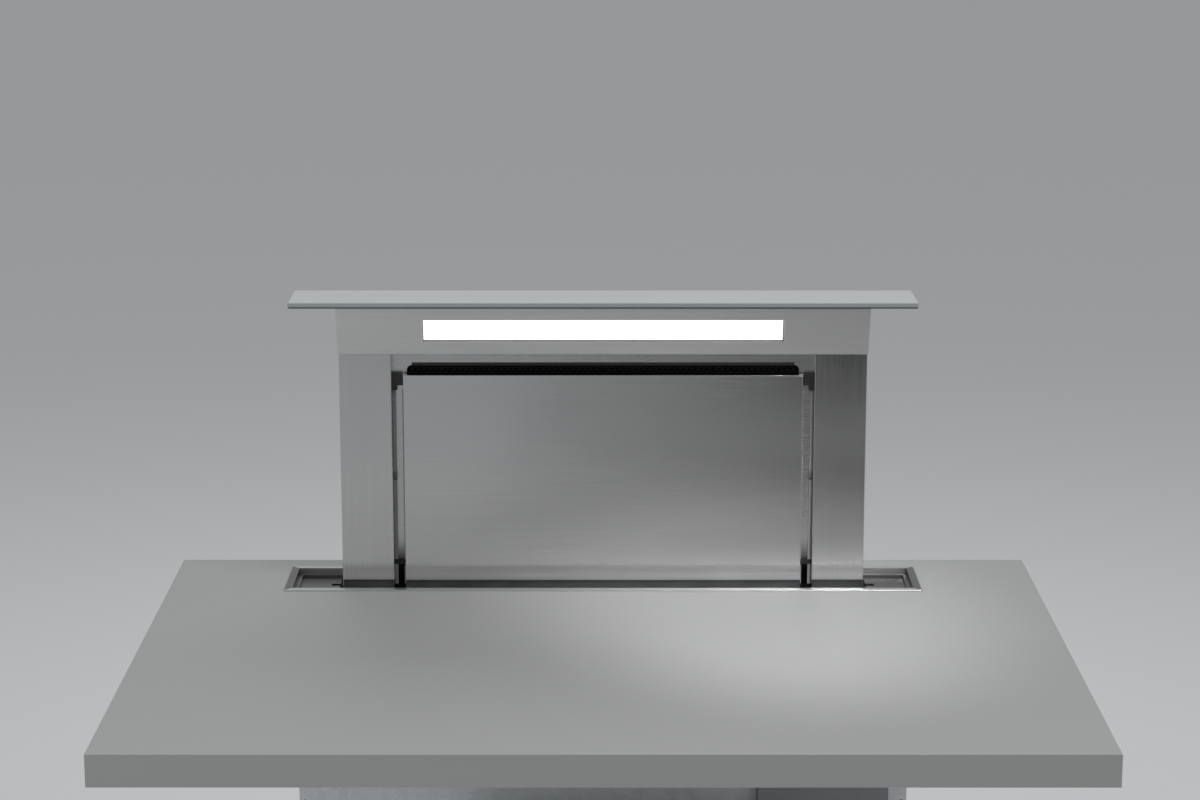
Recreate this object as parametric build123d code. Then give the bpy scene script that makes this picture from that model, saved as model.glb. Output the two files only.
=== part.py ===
"""Downdraft vent for a kitchen worktop: a tower that rises behind the hob.

Millimetres. X runs along the worktop, Y towards the back, Z up.
The origin is the middle of the trim frame on the worktop's surface, and the
front of the vent faces -Y. The tower is drawn raised, which is its rest pose.
"""
from build123d import *
import math
import os

# ---------------------------------------------------------------- sizes
# Lift
travel = 400.0                  # how far the tower sinks into the worktop
worktop_thickness = 40.0

# Trim frame set into the worktop
trim_length = 880.0
trim_depth = 120.0
trim_sheet = 1.5
flange_width = 10.5
flange_height = 2.0             # flange top above the worktop
flange_corner = 1.2
ledge_drop = 6.0                # ledge top below the worktop
ledge_width = 6.0
floor_drop = 10.0               # recess floor below the worktop
pit_end_clearance = 4.5         # tower side to the edge of the floor cut-out
pit_face_clearance = 1.0        # tower front and back to the floor cut-out
notch_reach = 12.0              # small notch in the floor beside the tower
notch_width = 10.0
notch_middle_y = 7.0

# Glass plate on top of the tower
glass_thickness = 6.0
glass_end_gap = 2.0             # glass to the trim's wall, each end
glass_side_gap = 1.5            # glass to the trim's wall, front and back
glass_edge = 0.8
seal_width = 5.0
seal_inset = 1.0
seal_gap = 0.3                  # seal to the ledge when the tower is down
carrier_thickness = 3.0

# Tower
tower_end_inset = 76.5          # trim end to the tower side
tower_front_y = -4.0            # front face of the columns
tower_back_y = 41.0
tower_sheet = 1.2
column_width = 72.0
fascia_gap = 2.0                # column top to the fascia
column_top_z = 322.0
column_bottom_z = -12.0
column_edge = 1.0
tower_tail = 225.0              # how far the carriage hangs below the worktop

# Tilted fascia with the light
fascia_top_y = -41.0
fascia_bottom_y = -14.0
fascia_return = 12.0
window_length = 494.0
window_height = 35.5
window_top_margin = 18.4        # along the slope, from the fascia's top edge
light_frame_wall = 4.0
light_frame_depth = 14.0
diffuser_recess = 1.6
diffuser_thickness = 3.0
diffuser_gap = 0.2
led_board_thickness = 1.6

# Suction panel
slot_width = 16.0               # panel side to the column
panel_bottom_z = -11.0
panel_top_margin = 29.0         # below the column top
panel_front_y = -6.0
panel_return = 9.0
panel_edge = 1.0
panel_lift = 7.0                # lift that frees the panel from its hooks

# Filter frame, filters and hooks behind the panel
filter_frame_y = 12.0
filter_side_margin = 20.5       # column to the filter opening
filter_opening_bottom_z = 12.0
filter_top_margin = 18.0        # below the column top
filter_opening_corner = 7.0
filter_thickness = 9.0
filter_rim = 9.0
filter_middle_gap = 2.0
filter_lap = 8.0                # filter behind the edge of the opening
filter_shelf = 1.5
grip_width = 60.0
grip_height = 16.0
grip_rim = 6.0
grip_rise = 26.0                # above the filter rim
hook_sheet = 1.6
hook_lip = 5.0
hook_block_height = 17.0
hook_step_height = 7.0
hook_reach = 16.0               # hook arm behind the panel
hook_gap = 0.6                  # panel return to the hooks
hook_step_width = 7.0
upper_hook_drop = 16.0          # shelf underside below the panel top
lower_hook_rise = 31.0          # shelf underside above the panel bottom
hanger_clearance = 0.8

# Carriage inside the tower
upright_width = 22.0
upright_sheet = 1.5
upright_front_y = 4.0
crossbar_height = 25.0
crossbar_top_z = -110.0
crossbar_front_y = 16.0
bottom_rail_top_z = -16.0
bottom_rail_height = 24.0

# Housing below the worktop
housing_sheet = 1.5
housing_gap = 0.3               # housing wall to the trim's inner wall
housing_bottom_z = -720.0
side_flange = 12.0
fixing_hole_radius = 2.75       # four holes in the rear wall
fixing_spacing_x = 680.0
fixing_spacing_z = 540.0
fixing_middle_z = -380.0

# Guide rails and shoes
rail_width = 28.0
rail_depth = 25.0
rail_sheet = 2.0
rail_middle_y = 21.0
rail_top_z = -62.0
rail_bottom_z = -642.0
shoe_gap = 0.3
shoe_length = 40.0
upper_shoe_z = -65.0
lower_shoe_z = -185.0
shoe_arm_sheet = 3.0
shoe_arm_height = 26.0
shoe_arm_reach = 12.0           # arm inside the shoe
bumper_height = 14.0
bumper_gap = 0.5

# Rack and pinion drive
gear_module = 2.0
pinion_teeth = 16
pressure_angle = 20.0
gear_backlash = 0.12
pinion_addendum = 1.7
rack_addendum = 1.6
gear_dedendum = 2.5
pinion_face = 12.0
rack_face = 14.0
rack_to_rail = 11.3
rack_pitch_inset = 14.0         # rear wall to the pitch line
rack_spare = 30.0               # rack below the lowest pinion place
drive_axis_z = -170.0
drive_shaft_radius = 5.0
bearing_gap = 0.05
drive_shaft_overhang = 3.0
pinion_hub_radius = 9.0
bush_flange_radius = 14.0
bush_flange = 3.0
bush_radius = 9.0
rack_top_z = -140.0
gearbox_length = 42.0
gearbox_bottom_z = -224.0
gearbox_top_z = -146.0
gearbox_front_reach = 8.0
gearbox_boss_half = 13.0
lift_motor_radius = 19.0
lift_motor_length = 88.0
lift_motor_y = 13.0
lift_motor_z = -203.0

# Blower on the front of the housing
blower_width = 380.0
blower_depth = 190.0
blower_top_z = -355.0
blower_bottom_z = -705.0
blower_sheet = 1.2
cover_panel_margin = 60.0
cover_panel_rise = 2.0
impeller_x = -15.0
impeller_z = -545.0
impeller_radius = 85.0
impeller_inner_radius = 67.0
impeller_length = 104.0
impeller_sheet = 1.5
impeller_hub_radius = 14.0
impeller_hub_length = 26.0
blade_count = 32
blade_thickness = 1.0
blade_lean = 38.0               # forward sweep of a blade from root to tip
scroll_gap = 6.0                # impeller to the scroll's side walls
scroll_start_radius = 95.0
scroll_end_radius = 170.0
scroll_start_angle = 35.0
scroll_sheet = 1.2
scroll_outlet_bottom_z = -506.0
inlet_throat_radius = 61.0
inlet_mouth_radius = 74.0
inlet_sheet = 1.5
motor_radius = 46.0
motor_length = 52.0
motor_shaft_radius = 4.0
motor_plate_thickness = 2.0
motor_plate_half = 62.0

# Duct collar with its two damper flaps
collar_radius = 74.5
collar_wall = 1.5
collar_length = 76.0
collar_flange_half = 82.0
collar_y = -130.0
collar_z = -440.0
damper_pin_radius = 2.0
damper_pin_x = 5.0              # from the collar's flange
flap_gap = 0.6
flap_thickness = 1.2
knuckle_radius = 3.6
knuckle_length = 17.0
knuckle_gap = 0.4

# Control box
control_box_width = 180.0
control_box_height = 120.0
control_box_depth = 50.0
control_box_inset = 31.8        # housing side to the box
control_box_top_z = -215.0
control_box_sheet = 1.5
gland_radius = 9.0
gland_length = 20.0

# Worktop clamps and levelling feet
clamp_inset = 96.8              # housing side to the clamp
clamp_drop = 18.0               # clamp arm below the worktop
clamp_screw_tail = 26.0
clamp_width = 30.0
clamp_height = 50.0
clamp_reach = 38.0
clamp_sheet = 3.0
clamp_screw_radius = 3.0
clamp_pad_radius = 9.0
clamp_pad_thickness = 3.0
foot_pad_radius = 20.0
foot_pad_thickness = 8.0
foot_stem_radius = 5.0
foot_nut_radius = 9.0
foot_nut_height = 8.0
foot_bottom_z = -750.0
foot_bracket_thickness = 3.0
rear_foot_inset = 26.8          # housing side to the foot
rear_foot_y = 24.0
front_foot_inset = 30.0         # blower side to the foot
front_foot_setback = 31.8       # blower front to the foot

# Shared small sizes
screw_head_radius = 4.0
screw_head_height = 2.2
thread_gap = 0.1                # screw or stem in its hole

# ---------------------------------------------------------------- derived
recess_length = trim_length - 2 * flange_width
recess_depth = trim_depth - 2 * flange_width
ledge_inner_length = recess_length - 2 * ledge_width
ledge_inner_depth = recess_depth - 2 * ledge_width

glass_length = recess_length - 2 * glass_end_gap
glass_depth = recess_depth - 2 * glass_side_gap
glass_top_z = travel + flange_height
glass_bottom_z = glass_top_z - glass_thickness
seal_thickness = glass_bottom_z - travel + ledge_drop - seal_gap
fascia_top_z = glass_bottom_z - carrier_thickness

tower_side_x = trim_length / 2 - tower_end_inset
column_inner_x = tower_side_x - column_width
fascia_bottom_z = column_top_z + fascia_gap
panel_half = column_inner_x - slot_width
panel_top_z = column_top_z - panel_top_margin
upper_hook_z = panel_top_z - upper_hook_drop
lower_hook_z = panel_bottom_z + lower_hook_rise
filter_opening_width = 2 * (column_inner_x - filter_side_margin)
filter_opening_top_z = column_top_z - filter_top_margin
upright_outer_x = tower_side_x - tower_sheet
upright_inner_x = upright_outer_x - upright_width
upright_back_y = tower_back_y - tower_sheet - 1.0
tower_bottom_z = -tower_tail
pit_half_length = tower_side_x + pit_end_clearance
pit_half_depth = max(tower_back_y, -fascia_top_y) + pit_face_clearance

housing_inner_x = ledge_inner_length / 2 + trim_sheet + housing_gap
housing_inner_y = ledge_inner_depth / 2 + trim_sheet + housing_gap
housing_outer_x = housing_inner_x + housing_sheet
housing_outer_y = housing_inner_y + housing_sheet
housing_top_z = -ledge_drop - trim_sheet
rail_inner_x = housing_inner_x - rail_depth

pitch_radius = gear_module * pinion_teeth / 2
tooth_pitch = math.pi * gear_module
rack_middle_x = rail_inner_x - rack_to_rail - rack_face / 2
rack_pitch_y = housing_inner_y - rack_pitch_inset
rack_root_y = rack_pitch_y + gear_dedendum
drive_axis_y = rack_pitch_y - pitch_radius
rack_bottom_z = drive_axis_z - travel - rack_spare

blower_back_y = -housing_outer_y
blower_front_y = blower_back_y - blower_depth
blower_side_x = blower_width / 2
impeller_back_y = blower_back_y - 14.0
impeller_front_y = impeller_back_y - impeller_length
scroll_back_y = impeller_back_y + scroll_gap
scroll_front_y = impeller_front_y - scroll_gap

clamp_x = housing_outer_x - clamp_inset
rear_foot_x = housing_outer_x - rear_foot_inset
front_foot_x = blower_side_x - front_foot_inset
front_foot_y = blower_front_y + front_foot_setback
control_box_left_x = housing_outer_x - control_box_inset - control_box_width


# ---------------------------------------------------------------- helpers
def block(x_span, y_span, z_span):
    """A box between a low and a high value on each axis."""
    spans = (x_span, y_span, z_span)
    size = [high - low for low, high in spans]
    middle = [(low + high) / 2 for low, high in spans]
    return Pos(*middle) * Box(*size)


def rod_x(radius, x_span, y, z):
    """A round bar along X."""
    low, high = x_span
    return Pos((low + high) / 2, y, z) * Rot(0, 90, 0) * Cylinder(radius, high - low)


def rod_y(radius, y_span, x, z):
    """A round bar along Y."""
    low, high = y_span
    return Pos(x, (low + high) / 2, z) * Rot(90, 0, 0) * Cylinder(radius, high - low)


def rod_z(radius, z_span, x, y):
    """A round bar along Z."""
    low, high = z_span
    return Pos(x, y, (low + high) / 2) * Cylinder(radius, high - low)


def hex_nut(radius, z_span, x, y):
    """A six-sided nut along Z; radius reaches its corners."""
    low, high = z_span
    return Pos(x, y, low) * extrude(RegularPolygon(radius, 6), high - low)


def hex_head(radius, y_span, x, z):
    """A six-sided screw head along Y; radius reaches its corners."""
    low, high = y_span
    return Pos(x, low, z) * Rot(-90, 0, 0) * extrude(RegularPolygon(radius, 6), high - low)


def profile_along_x(points, x_span):
    """A closed outline of (y, z) points drawn out along X."""
    low, high = x_span
    outline = Polyline(*[(low, y, z) for y, z in points], close=True)
    return extrude(make_face(outline), high - low, dir=(1, 0, 0))


def both_sides(piece):
    """The piece and its mirror image across the middle of the vent."""
    return [piece, mirror(piece, Plane.YZ)]


parts = {}


def save(node, piece):
    """Keep a finished sub-part, or a group of equal ones, under its name."""
    solids = list(piece) if isinstance(piece, (list, tuple)) else [piece]
    parts[node] = solids[0] if len(solids) == 1 else Compound(children=solids)


def save_pair(name, right_piece):
    """Keep a right-hand piece and its mirrored left-hand twin."""
    save(name + "_right", right_piece)
    save(name + "_left", mirror(right_piece, Plane.YZ))


# ---------------------------------------------------------------- trim and housing
def make_trim_frame():
    """Pressed frame: flange, wall, ledge for the glass, floor and cut-out."""
    flange = block((-trim_length / 2, trim_length / 2), (-trim_depth / 2, trim_depth / 2),
                   (0, flange_height))
    flange = fillet(flange.edges().filter_by(Axis.Z), flange_corner)
    top_rim = flange.edges().group_by(Axis.Z)[-1]
    flange = fillet(top_rim, 0.8)
    upper = block((-recess_length / 2 - trim_sheet, recess_length / 2 + trim_sheet),
                  (-recess_depth / 2 - trim_sheet, recess_depth / 2 + trim_sheet),
                  (-ledge_drop - trim_sheet, 0))
    lower = block((-ledge_inner_length / 2 - trim_sheet, ledge_inner_length / 2 + trim_sheet),
                  (-ledge_inner_depth / 2 - trim_sheet, ledge_inner_depth / 2 + trim_sheet),
                  (-floor_drop - trim_sheet, -ledge_drop))
    frame = flange + upper + lower
    frame -= block((-recess_length / 2, recess_length / 2), (-recess_depth / 2, recess_depth / 2),
                   (-ledge_drop, flange_height + 1))
    frame -= block((-ledge_inner_length / 2, ledge_inner_length / 2),
                   (-ledge_inner_depth / 2, ledge_inner_depth / 2), (-floor_drop, flange_height))
    frame -= block((-pit_half_length, pit_half_length), (-pit_half_depth, pit_half_depth),
                   (-floor_drop - trim_sheet - 1, 0))
    notch_end = pit_half_length + notch_reach
    frame -= block((-notch_end, notch_end),
                   (notch_middle_y - notch_width / 2, notch_middle_y + notch_width / 2),
                   (-floor_drop - trim_sheet - 1, 0))
    return frame


def make_housing():
    """The sheet-metal shaft that hangs under the trim and holds the works."""
    wall_z = (housing_bottom_z, housing_top_z)
    full_x = (-housing_outer_x, housing_outer_x)
    rear = block(full_x, (housing_inner_y, housing_outer_y), wall_z)
    for x in (-fixing_spacing_x / 2, fixing_spacing_x / 2):
        for z in (fixing_middle_z - fixing_spacing_z / 2, fixing_middle_z + fixing_spacing_z / 2):
            rear -= rod_y(fixing_hole_radius, (housing_inner_y - 1, housing_outer_y + 1), x, z)
    save("housing_rear", rear)

    front = block(full_x, (-housing_outer_y, -housing_inner_y), wall_z)
    front -= rod_y(inlet_mouth_radius, (-housing_outer_y - 1, -housing_inner_y + 1),
                   impeller_x, impeller_z)
    save("housing_front", front)

    side = block((housing_inner_x, housing_outer_x), (-housing_inner_y, housing_inner_y), wall_z)
    flange_top = -floor_drop - trim_sheet - 2.0
    for low_y in (-housing_inner_y, housing_inner_y - housing_sheet):
        side += block((housing_inner_x - side_flange, housing_inner_x),
                      (low_y, low_y + housing_sheet), (housing_bottom_z, flange_top))
    save_pair("housing_side", side)

    base = block(full_x, (-housing_outer_y, housing_outer_y),
                 (housing_bottom_z - housing_sheet, housing_bottom_z))
    save("housing_base", base)


def make_guide_rail():
    """Right-hand channel that the tower's shoes run in."""
    half = rail_width / 2
    z_span = (rail_bottom_z, rail_top_z)
    rail = block((rail_inner_x, housing_inner_x), (rail_middle_y - half, rail_middle_y + half), z_span)
    rail -= block((rail_inner_x - 1, housing_inner_x - rail_sheet),
                  (rail_middle_y - half + rail_sheet, rail_middle_y + half - rail_sheet),
                  (rail_bottom_z - 1, rail_top_z + 1))
    return rail


def make_bumper():
    """Right-hand rubber stop at the foot of the guide rail."""
    half = rail_width / 2 - rail_sheet
    lowest_shoe = lower_shoe_z - shoe_length - travel
    return block((rail_inner_x + 2, housing_inner_x - rail_sheet),
                 (rail_middle_y - half, rail_middle_y + half),
                 (lowest_shoe - bumper_gap - bumper_height, lowest_shoe - bumper_gap))


def make_clamps():
    """Angle brackets on the housing and the screws that grip the worktop."""
    brackets = []
    screws = []
    arm_top = -worktop_thickness - clamp_drop
    for side_x in (-clamp_x, clamp_x):
        for way in (-1, 1):
            wall = way * housing_outer_y
            tip = way * (housing_outer_y + clamp_reach)
            leg = block((side_x - clamp_width / 2, side_x + clamp_width / 2),
                        sorted((wall, wall + way * clamp_sheet)), (arm_top - clamp_height, arm_top))
            arm = block((side_x - clamp_width / 2, side_x + clamp_width / 2),
                        sorted((wall, tip)), (arm_top - clamp_sheet, arm_top))
            screw_y = tip - way * (clamp_pad_radius + 3)
            bracket = leg + arm
            bracket -= rod_z(clamp_screw_radius + thread_gap, (arm_top - clamp_sheet - 1, arm_top + 1),
                             side_x, screw_y)
            brackets.append(bracket)
            pad_bottom = -worktop_thickness - clamp_pad_thickness
            screw = hex_nut(clamp_pad_radius, (pad_bottom, -worktop_thickness), side_x, screw_y)
            screw += rod_z(clamp_screw_radius, (arm_top - clamp_screw_tail, pad_bottom), side_x, screw_y)
            screw += hex_nut(2 * clamp_screw_radius, (arm_top, arm_top + 5), side_x, screw_y)
            screws.append(screw)
    save("clamp_brackets", brackets)
    save("clamp_screws", screws)


def make_feet():
    """Four adjustable feet and the plates that carry them."""
    base_bottom = housing_bottom_z - housing_sheet
    places = [(side * rear_foot_x, rear_foot_y, base_bottom) for side in (-1, 1)]
    places += [(side * front_foot_x, front_foot_y, blower_bottom_z) for side in (-1, 1)]
    brackets = []
    feet = []
    for x, y, under in places:
        plate_bottom = under - foot_bracket_thickness
        plate = block((x - foot_pad_radius, x + foot_pad_radius),
                      (y - foot_pad_radius, y + foot_pad_radius), (plate_bottom, under))
        plate = chamfer(plate.edges().filter_by(Axis.Z), 4)
        plate -= rod_z(foot_stem_radius + thread_gap, (plate_bottom - 1, under + 1), x, y)
        brackets.append(plate)
        foot = rod_z(foot_pad_radius, (foot_bottom_z, foot_bottom_z + foot_pad_thickness), x, y)
        foot += rod_z(foot_stem_radius, (foot_bottom_z + foot_pad_thickness, under - 0.5), x, y)
        foot += hex_nut(foot_nut_radius, (plate_bottom - foot_nut_height, plate_bottom), x, y)
        feet.append(foot)
    save("foot_brackets", brackets)
    save("levelling_feet", feet)


# ---------------------------------------------------------------- drive
def make_rack():
    """Right-hand toothed rack fixed to the back wall, teeth facing forwards."""
    slope = math.tan(math.radians(pressure_angle))
    half_tooth = (tooth_pitch / 2 - gear_backlash) / 2
    tip_half = half_tooth - rack_addendum * slope
    root_half = half_tooth + gear_dedendum * slope
    tip_y = rack_pitch_y - rack_addendum
    highest = math.floor((rack_top_z - drive_axis_z) / tooth_pitch - 0.5)
    lowest = math.ceil((rack_bottom_z - drive_axis_z) / tooth_pitch + 0.5)
    first = drive_axis_z + (lowest + 0.5) * tooth_pitch
    count = highest - lowest
    outline = [(housing_inner_y, first - tooth_pitch / 2), (rack_root_y, first - tooth_pitch / 2)]
    for index in range(count):
        middle = first + index * tooth_pitch
        outline += [(rack_root_y, middle - root_half), (tip_y, middle - tip_half),
                    (tip_y, middle + tip_half), (rack_root_y, middle + root_half)]
    last = first + (count - 0.5) * tooth_pitch
    outline += [(rack_root_y, last), (housing_inner_y, last)]
    return profile_along_x(outline, (rack_middle_x - rack_face / 2, rack_middle_x + rack_face / 2))


def pinion_outline():
    """Involute tooth outline as (y, z) points about the pinion's own axis."""
    base_radius = pitch_radius * math.cos(math.radians(pressure_angle))
    tip_radius = pitch_radius + pinion_addendum
    root_radius = pitch_radius - gear_dedendum

    def roll_angle(radius):
        ratio = math.sqrt(max(0.0, (radius / base_radius) ** 2 - 1))
        return ratio - math.atan(ratio)

    half_at_pitch = (tooth_pitch / 2 - gear_backlash) / 2 / pitch_radius
    half_at_base = half_at_pitch + roll_angle(pitch_radius)
    steps = 2
    flank = [(root_radius, half_at_base)]
    for step in range(steps + 1):
        radius = base_radius + (tip_radius - base_radius) * step / steps
        flank.append((radius, half_at_base - roll_angle(radius)))
    points = []
    for tooth in range(pinion_teeth):
        middle = 2 * math.pi * tooth / pinion_teeth
        for radius, half in flank:
            points.append((radius, middle - half))
        for radius, half in reversed(flank):
            points.append((radius, middle + half))
    return [(radius * math.cos(angle), radius * math.sin(angle)) for radius, angle in points]


def make_pinion():
    """Right-hand pinion with its hub, on the drive shaft's axis."""
    low_x = rack_middle_x - pinion_face / 2
    outline = [(drive_axis_y + y, drive_axis_z + z) for y, z in pinion_outline()]
    pinion = profile_along_x(outline, (low_x, low_x + pinion_face))
    hub_start = upright_outer_x + bush_flange + 0.5
    pinion += rod_x(pinion_hub_radius, (hub_start, low_x), drive_axis_y, drive_axis_z)
    pinion -= rod_x(drive_shaft_radius, (hub_start - 1, low_x + pinion_face + 1),
                    drive_axis_y, drive_axis_z)
    return pinion


def make_drive():
    """Cross shaft with its pinions, bushes and the gear motor that turns it."""
    save_pair("rack", make_rack())
    reach = rack_middle_x + pinion_face / 2 + drive_shaft_overhang
    save("drive_shaft", rod_x(drive_shaft_radius, (-reach, reach), drive_axis_y, drive_axis_z))
    save("drive_pinions", both_sides(make_pinion()))

    bush = rod_x(bush_flange_radius, (upright_outer_x, upright_outer_x + bush_flange),
                 drive_axis_y, drive_axis_z)
    bush += rod_x(bush_radius, (upright_outer_x - upright_sheet, upright_outer_x),
                  drive_axis_y, drive_axis_z)
    bush -= rod_x(drive_shaft_radius + bearing_gap,
                  (upright_outer_x - 5, upright_outer_x + bush_flange + 1), drive_axis_y, drive_axis_z)
    save("shaft_bushes", both_sides(bush))

    box_x = (upright_inner_x - gearbox_length, upright_inner_x)
    gearbox = block(box_x, (upright_front_y - gearbox_front_reach, tower_back_y - tower_sheet),
                    (gearbox_bottom_z, gearbox_top_z))
    gearbox = fillet(gearbox.edges().filter_by(Axis.X), 4)
    boss_y = (upright_front_y + upright_sheet + 1, upright_back_y - upright_sheet - 1)
    gearbox += block((upright_inner_x, upright_outer_x - upright_sheet), boss_y,
                     (drive_axis_z - gearbox_boss_half, drive_axis_z + gearbox_boss_half))
    gearbox += rod_x(lift_motor_radius, (box_x[0] - lift_motor_length, box_x[0]),
                     lift_motor_y, lift_motor_z)
    gearbox -= rod_x(drive_shaft_radius + bearing_gap, (box_x[0] - 1, upright_outer_x),
                     drive_axis_y, drive_axis_z)
    save("lift_gear_motor", gearbox)


# ---------------------------------------------------------------- tower
def make_glass():
    """Glass plate, its seal and the sheet that carries it."""
    glass = block((-glass_length / 2, glass_length / 2), (-glass_depth / 2, glass_depth / 2),
                  (glass_bottom_z, glass_top_z))
    glass = fillet(glass.edges().filter_by(Axis.Z), 1.5)
    glass = chamfer(glass.edges().group_by(Axis.Z)[-1], glass_edge)
    save("glass_top", glass)

    seal_x = glass_length / 2 - seal_inset
    seal_y = glass_depth / 2 - seal_inset
    seal_z = (glass_bottom_z - seal_thickness, glass_bottom_z)
    seal = block((-seal_x, seal_x), (-seal_y, seal_y), seal_z)
    seal -= block((-seal_x + seal_width, seal_x - seal_width),
                  (-seal_y + seal_width, seal_y - seal_width), (seal_z[0] - 1, seal_z[1] + 1))
    save("glass_seal", seal)

    carrier = block((-tower_side_x, tower_side_x), (fascia_top_y, tower_back_y),
                    (fascia_top_z, glass_bottom_z))
    save("glass_carrier", carrier)


fascia_slope = Vector(0, fascia_top_y - fascia_bottom_y, fascia_top_z - fascia_bottom_z)
fascia_height = fascia_slope.length
fascia_plane = Plane(origin=(0, fascia_top_y, fascia_top_z), x_dir=(1, 0, 0),
                     z_dir=Vector(1, 0, 0).cross(fascia_slope.normalized()))


def on_fascia(length, slope_span, depth_span):
    """A block on the fascia: spans down its slope and behind its face."""
    low, high = slope_span
    near, far = depth_span
    middle = Pos(0, -(low + high) / 2, -(near + far) / 2)
    return fascia_plane.location * middle * Box(length, high - low, far - near)


def make_fascia():
    """Tilted front with the light window, closed at both ends."""
    depth = tower_back_y - tower_sheet
    outside = [(fascia_bottom_y, fascia_bottom_z), (fascia_top_y, fascia_top_z),
               (depth, fascia_top_z), (depth, fascia_bottom_z)]
    fascia = profile_along_x(outside, (-tower_side_x, tower_side_x))
    front_bottom = fascia.edges().filter_by(Axis.X).sort_by(
        lambda edge: (edge.center() - Vector(0, fascia_bottom_y, fascia_bottom_z)).length)[0]
    fascia = fillet(front_bottom, 1.0)
    lean = fascia_slope.length / (fascia_top_z - fascia_bottom_z) * tower_sheet
    step = tower_sheet * (fascia_top_y - fascia_bottom_y) / (fascia_top_z - fascia_bottom_z)
    hollow = [(fascia_bottom_y + lean + step, fascia_bottom_z + tower_sheet),
              (fascia_top_y + lean - step, fascia_top_z - tower_sheet),
              (depth + 1, fascia_top_z - tower_sheet), (depth + 1, fascia_bottom_z + tower_sheet)]
    fascia -= profile_along_x(hollow, (-tower_side_x + tower_sheet, tower_side_x - tower_sheet))
    inside_x = tower_side_x - tower_sheet
    fascia -= block((-inside_x, inside_x), (fascia_bottom_y + fascia_return, depth + 1),
                    (fascia_bottom_z - 1, fascia_bottom_z + tower_sheet + 1))
    fascia -= block((-inside_x, inside_x), (fascia_top_y + fascia_return, depth + 1),
                    (fascia_top_z - tower_sheet - 1, fascia_top_z + 1))
    window_span = (window_top_margin, window_top_margin + window_height)
    fascia -= on_fascia(window_length, window_span, (-5, tower_sheet + 2))
    save("light_fascia", fascia)

    wall = light_frame_wall
    frame = on_fascia(window_length + 2 * wall, (window_span[0] - wall, window_span[1] + wall),
                      (tower_sheet, tower_sheet + light_frame_depth))
    frame -= on_fascia(window_length, window_span, (0, tower_sheet + light_frame_depth - 1.5))
    save("light_frame", frame)

    gap = diffuser_gap
    front = tower_sheet + diffuser_recess
    diffuser = on_fascia(window_length - 2 * gap, (window_span[0] + gap, window_span[1] - gap),
                         (front, front + diffuser_thickness))
    rail = on_fascia(window_length - 2 * gap, (window_span[0], window_span[0] + 1.5),
                     (front, front + diffuser_thickness))
    save("light_diffuser", diffuser + rail)

    tray_floor = tower_sheet + light_frame_depth - 1.5
    board = on_fascia(window_length - 8, (window_span[0] + 6, window_span[1] - 6),
                      (tray_floor - led_board_thickness, tray_floor))
    for index in range(24):
        offset = (index - 11.5) * (window_length - 20) / 24
        middle_span = (window_span[0] + window_span[1]) / 2
        led = on_fascia(4, (middle_span - 1.5, middle_span + 1.5),
                        (tray_floor - led_board_thickness - 1, tray_floor - led_board_thickness))
        board += Pos(offset, 0, 0) * led
    save("led_board", board)


def make_column():
    """Right-hand column: front, outer side and inner return of one sheet."""
    column = block((column_inner_x, tower_side_x), (tower_front_y, tower_back_y - tower_sheet),
                   (column_bottom_z, column_top_z))
    front_corners = column.edges().filter_by(Axis.Z).group_by(Axis.Y)[0]
    column = fillet(front_corners, column_edge)
    column -= block((column_inner_x + tower_sheet, tower_side_x - tower_sheet),
                    (tower_front_y + tower_sheet, tower_back_y), (column_bottom_z - 1, column_top_z + 1))
    column -= block((column_inner_x - 1, column_inner_x + tower_sheet + 1),
                    (filter_frame_y, tower_back_y), (column_bottom_z - 1, column_top_z + 1))
    return column


def make_carriage():
    """Uprights, crossbar and bottom rail that hold the tower together."""
    upright = block((upright_inner_x, upright_outer_x), (upright_front_y, upright_back_y),
                    (tower_bottom_z, fascia_top_z))
    upright -= block((upright_inner_x - 1, upright_outer_x - upright_sheet),
                     (upright_front_y + upright_sheet, upright_back_y - upright_sheet),
                     (tower_bottom_z - 1, fascia_top_z + 1))
    upright -= rod_x(bush_radius + bearing_gap, (upright_inner_x, upright_outer_x + 1),
                     drive_axis_y, drive_axis_z)
    save_pair("carriage_upright", upright)

    bar_x = (-upright_inner_x, upright_inner_x)
    bar_back = tower_back_y - tower_sheet
    crossbar = block(bar_x, (crossbar_front_y, bar_back),
                     (crossbar_top_z - crossbar_height, crossbar_top_z))
    crossbar -= block((bar_x[0] - 1, bar_x[1] + 1),
                      (crossbar_front_y + upright_sheet, bar_back + 1),
                      (crossbar_top_z - crossbar_height + upright_sheet, crossbar_top_z - upright_sheet))
    save("carriage_crossbar", crossbar)

    rail_x = upright_outer_x
    rail = block((-rail_x, rail_x), (tower_front_y + 4, upright_front_y),
                 (bottom_rail_top_z - bottom_rail_height, bottom_rail_top_z))
    rail += block((-rail_x, rail_x), (tower_front_y + 4, filter_frame_y),
                  (bottom_rail_top_z - 1.5, bottom_rail_top_z))
    rail -= block((-rail_x - 1, rail_x + 1), (tower_front_y + 4 + 1.5, filter_frame_y),
                  (bottom_rail_top_z - bottom_rail_height - 1, bottom_rail_top_z - 1.5))
    for side in (-1, 1):
        near, far = sorted((side * (upright_inner_x - 0.2), side * (upright_outer_x + 1)))
        rail -= block((near, far), (upright_front_y, filter_frame_y + 1),
                      (bottom_rail_top_z - 2, bottom_rail_top_z + 1))
    save("bottom_rail", rail)

    back = block((-tower_side_x, tower_side_x), (tower_back_y - tower_sheet, tower_back_y),
                 (tower_bottom_z, fascia_top_z))
    save("tower_back", back)


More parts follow.
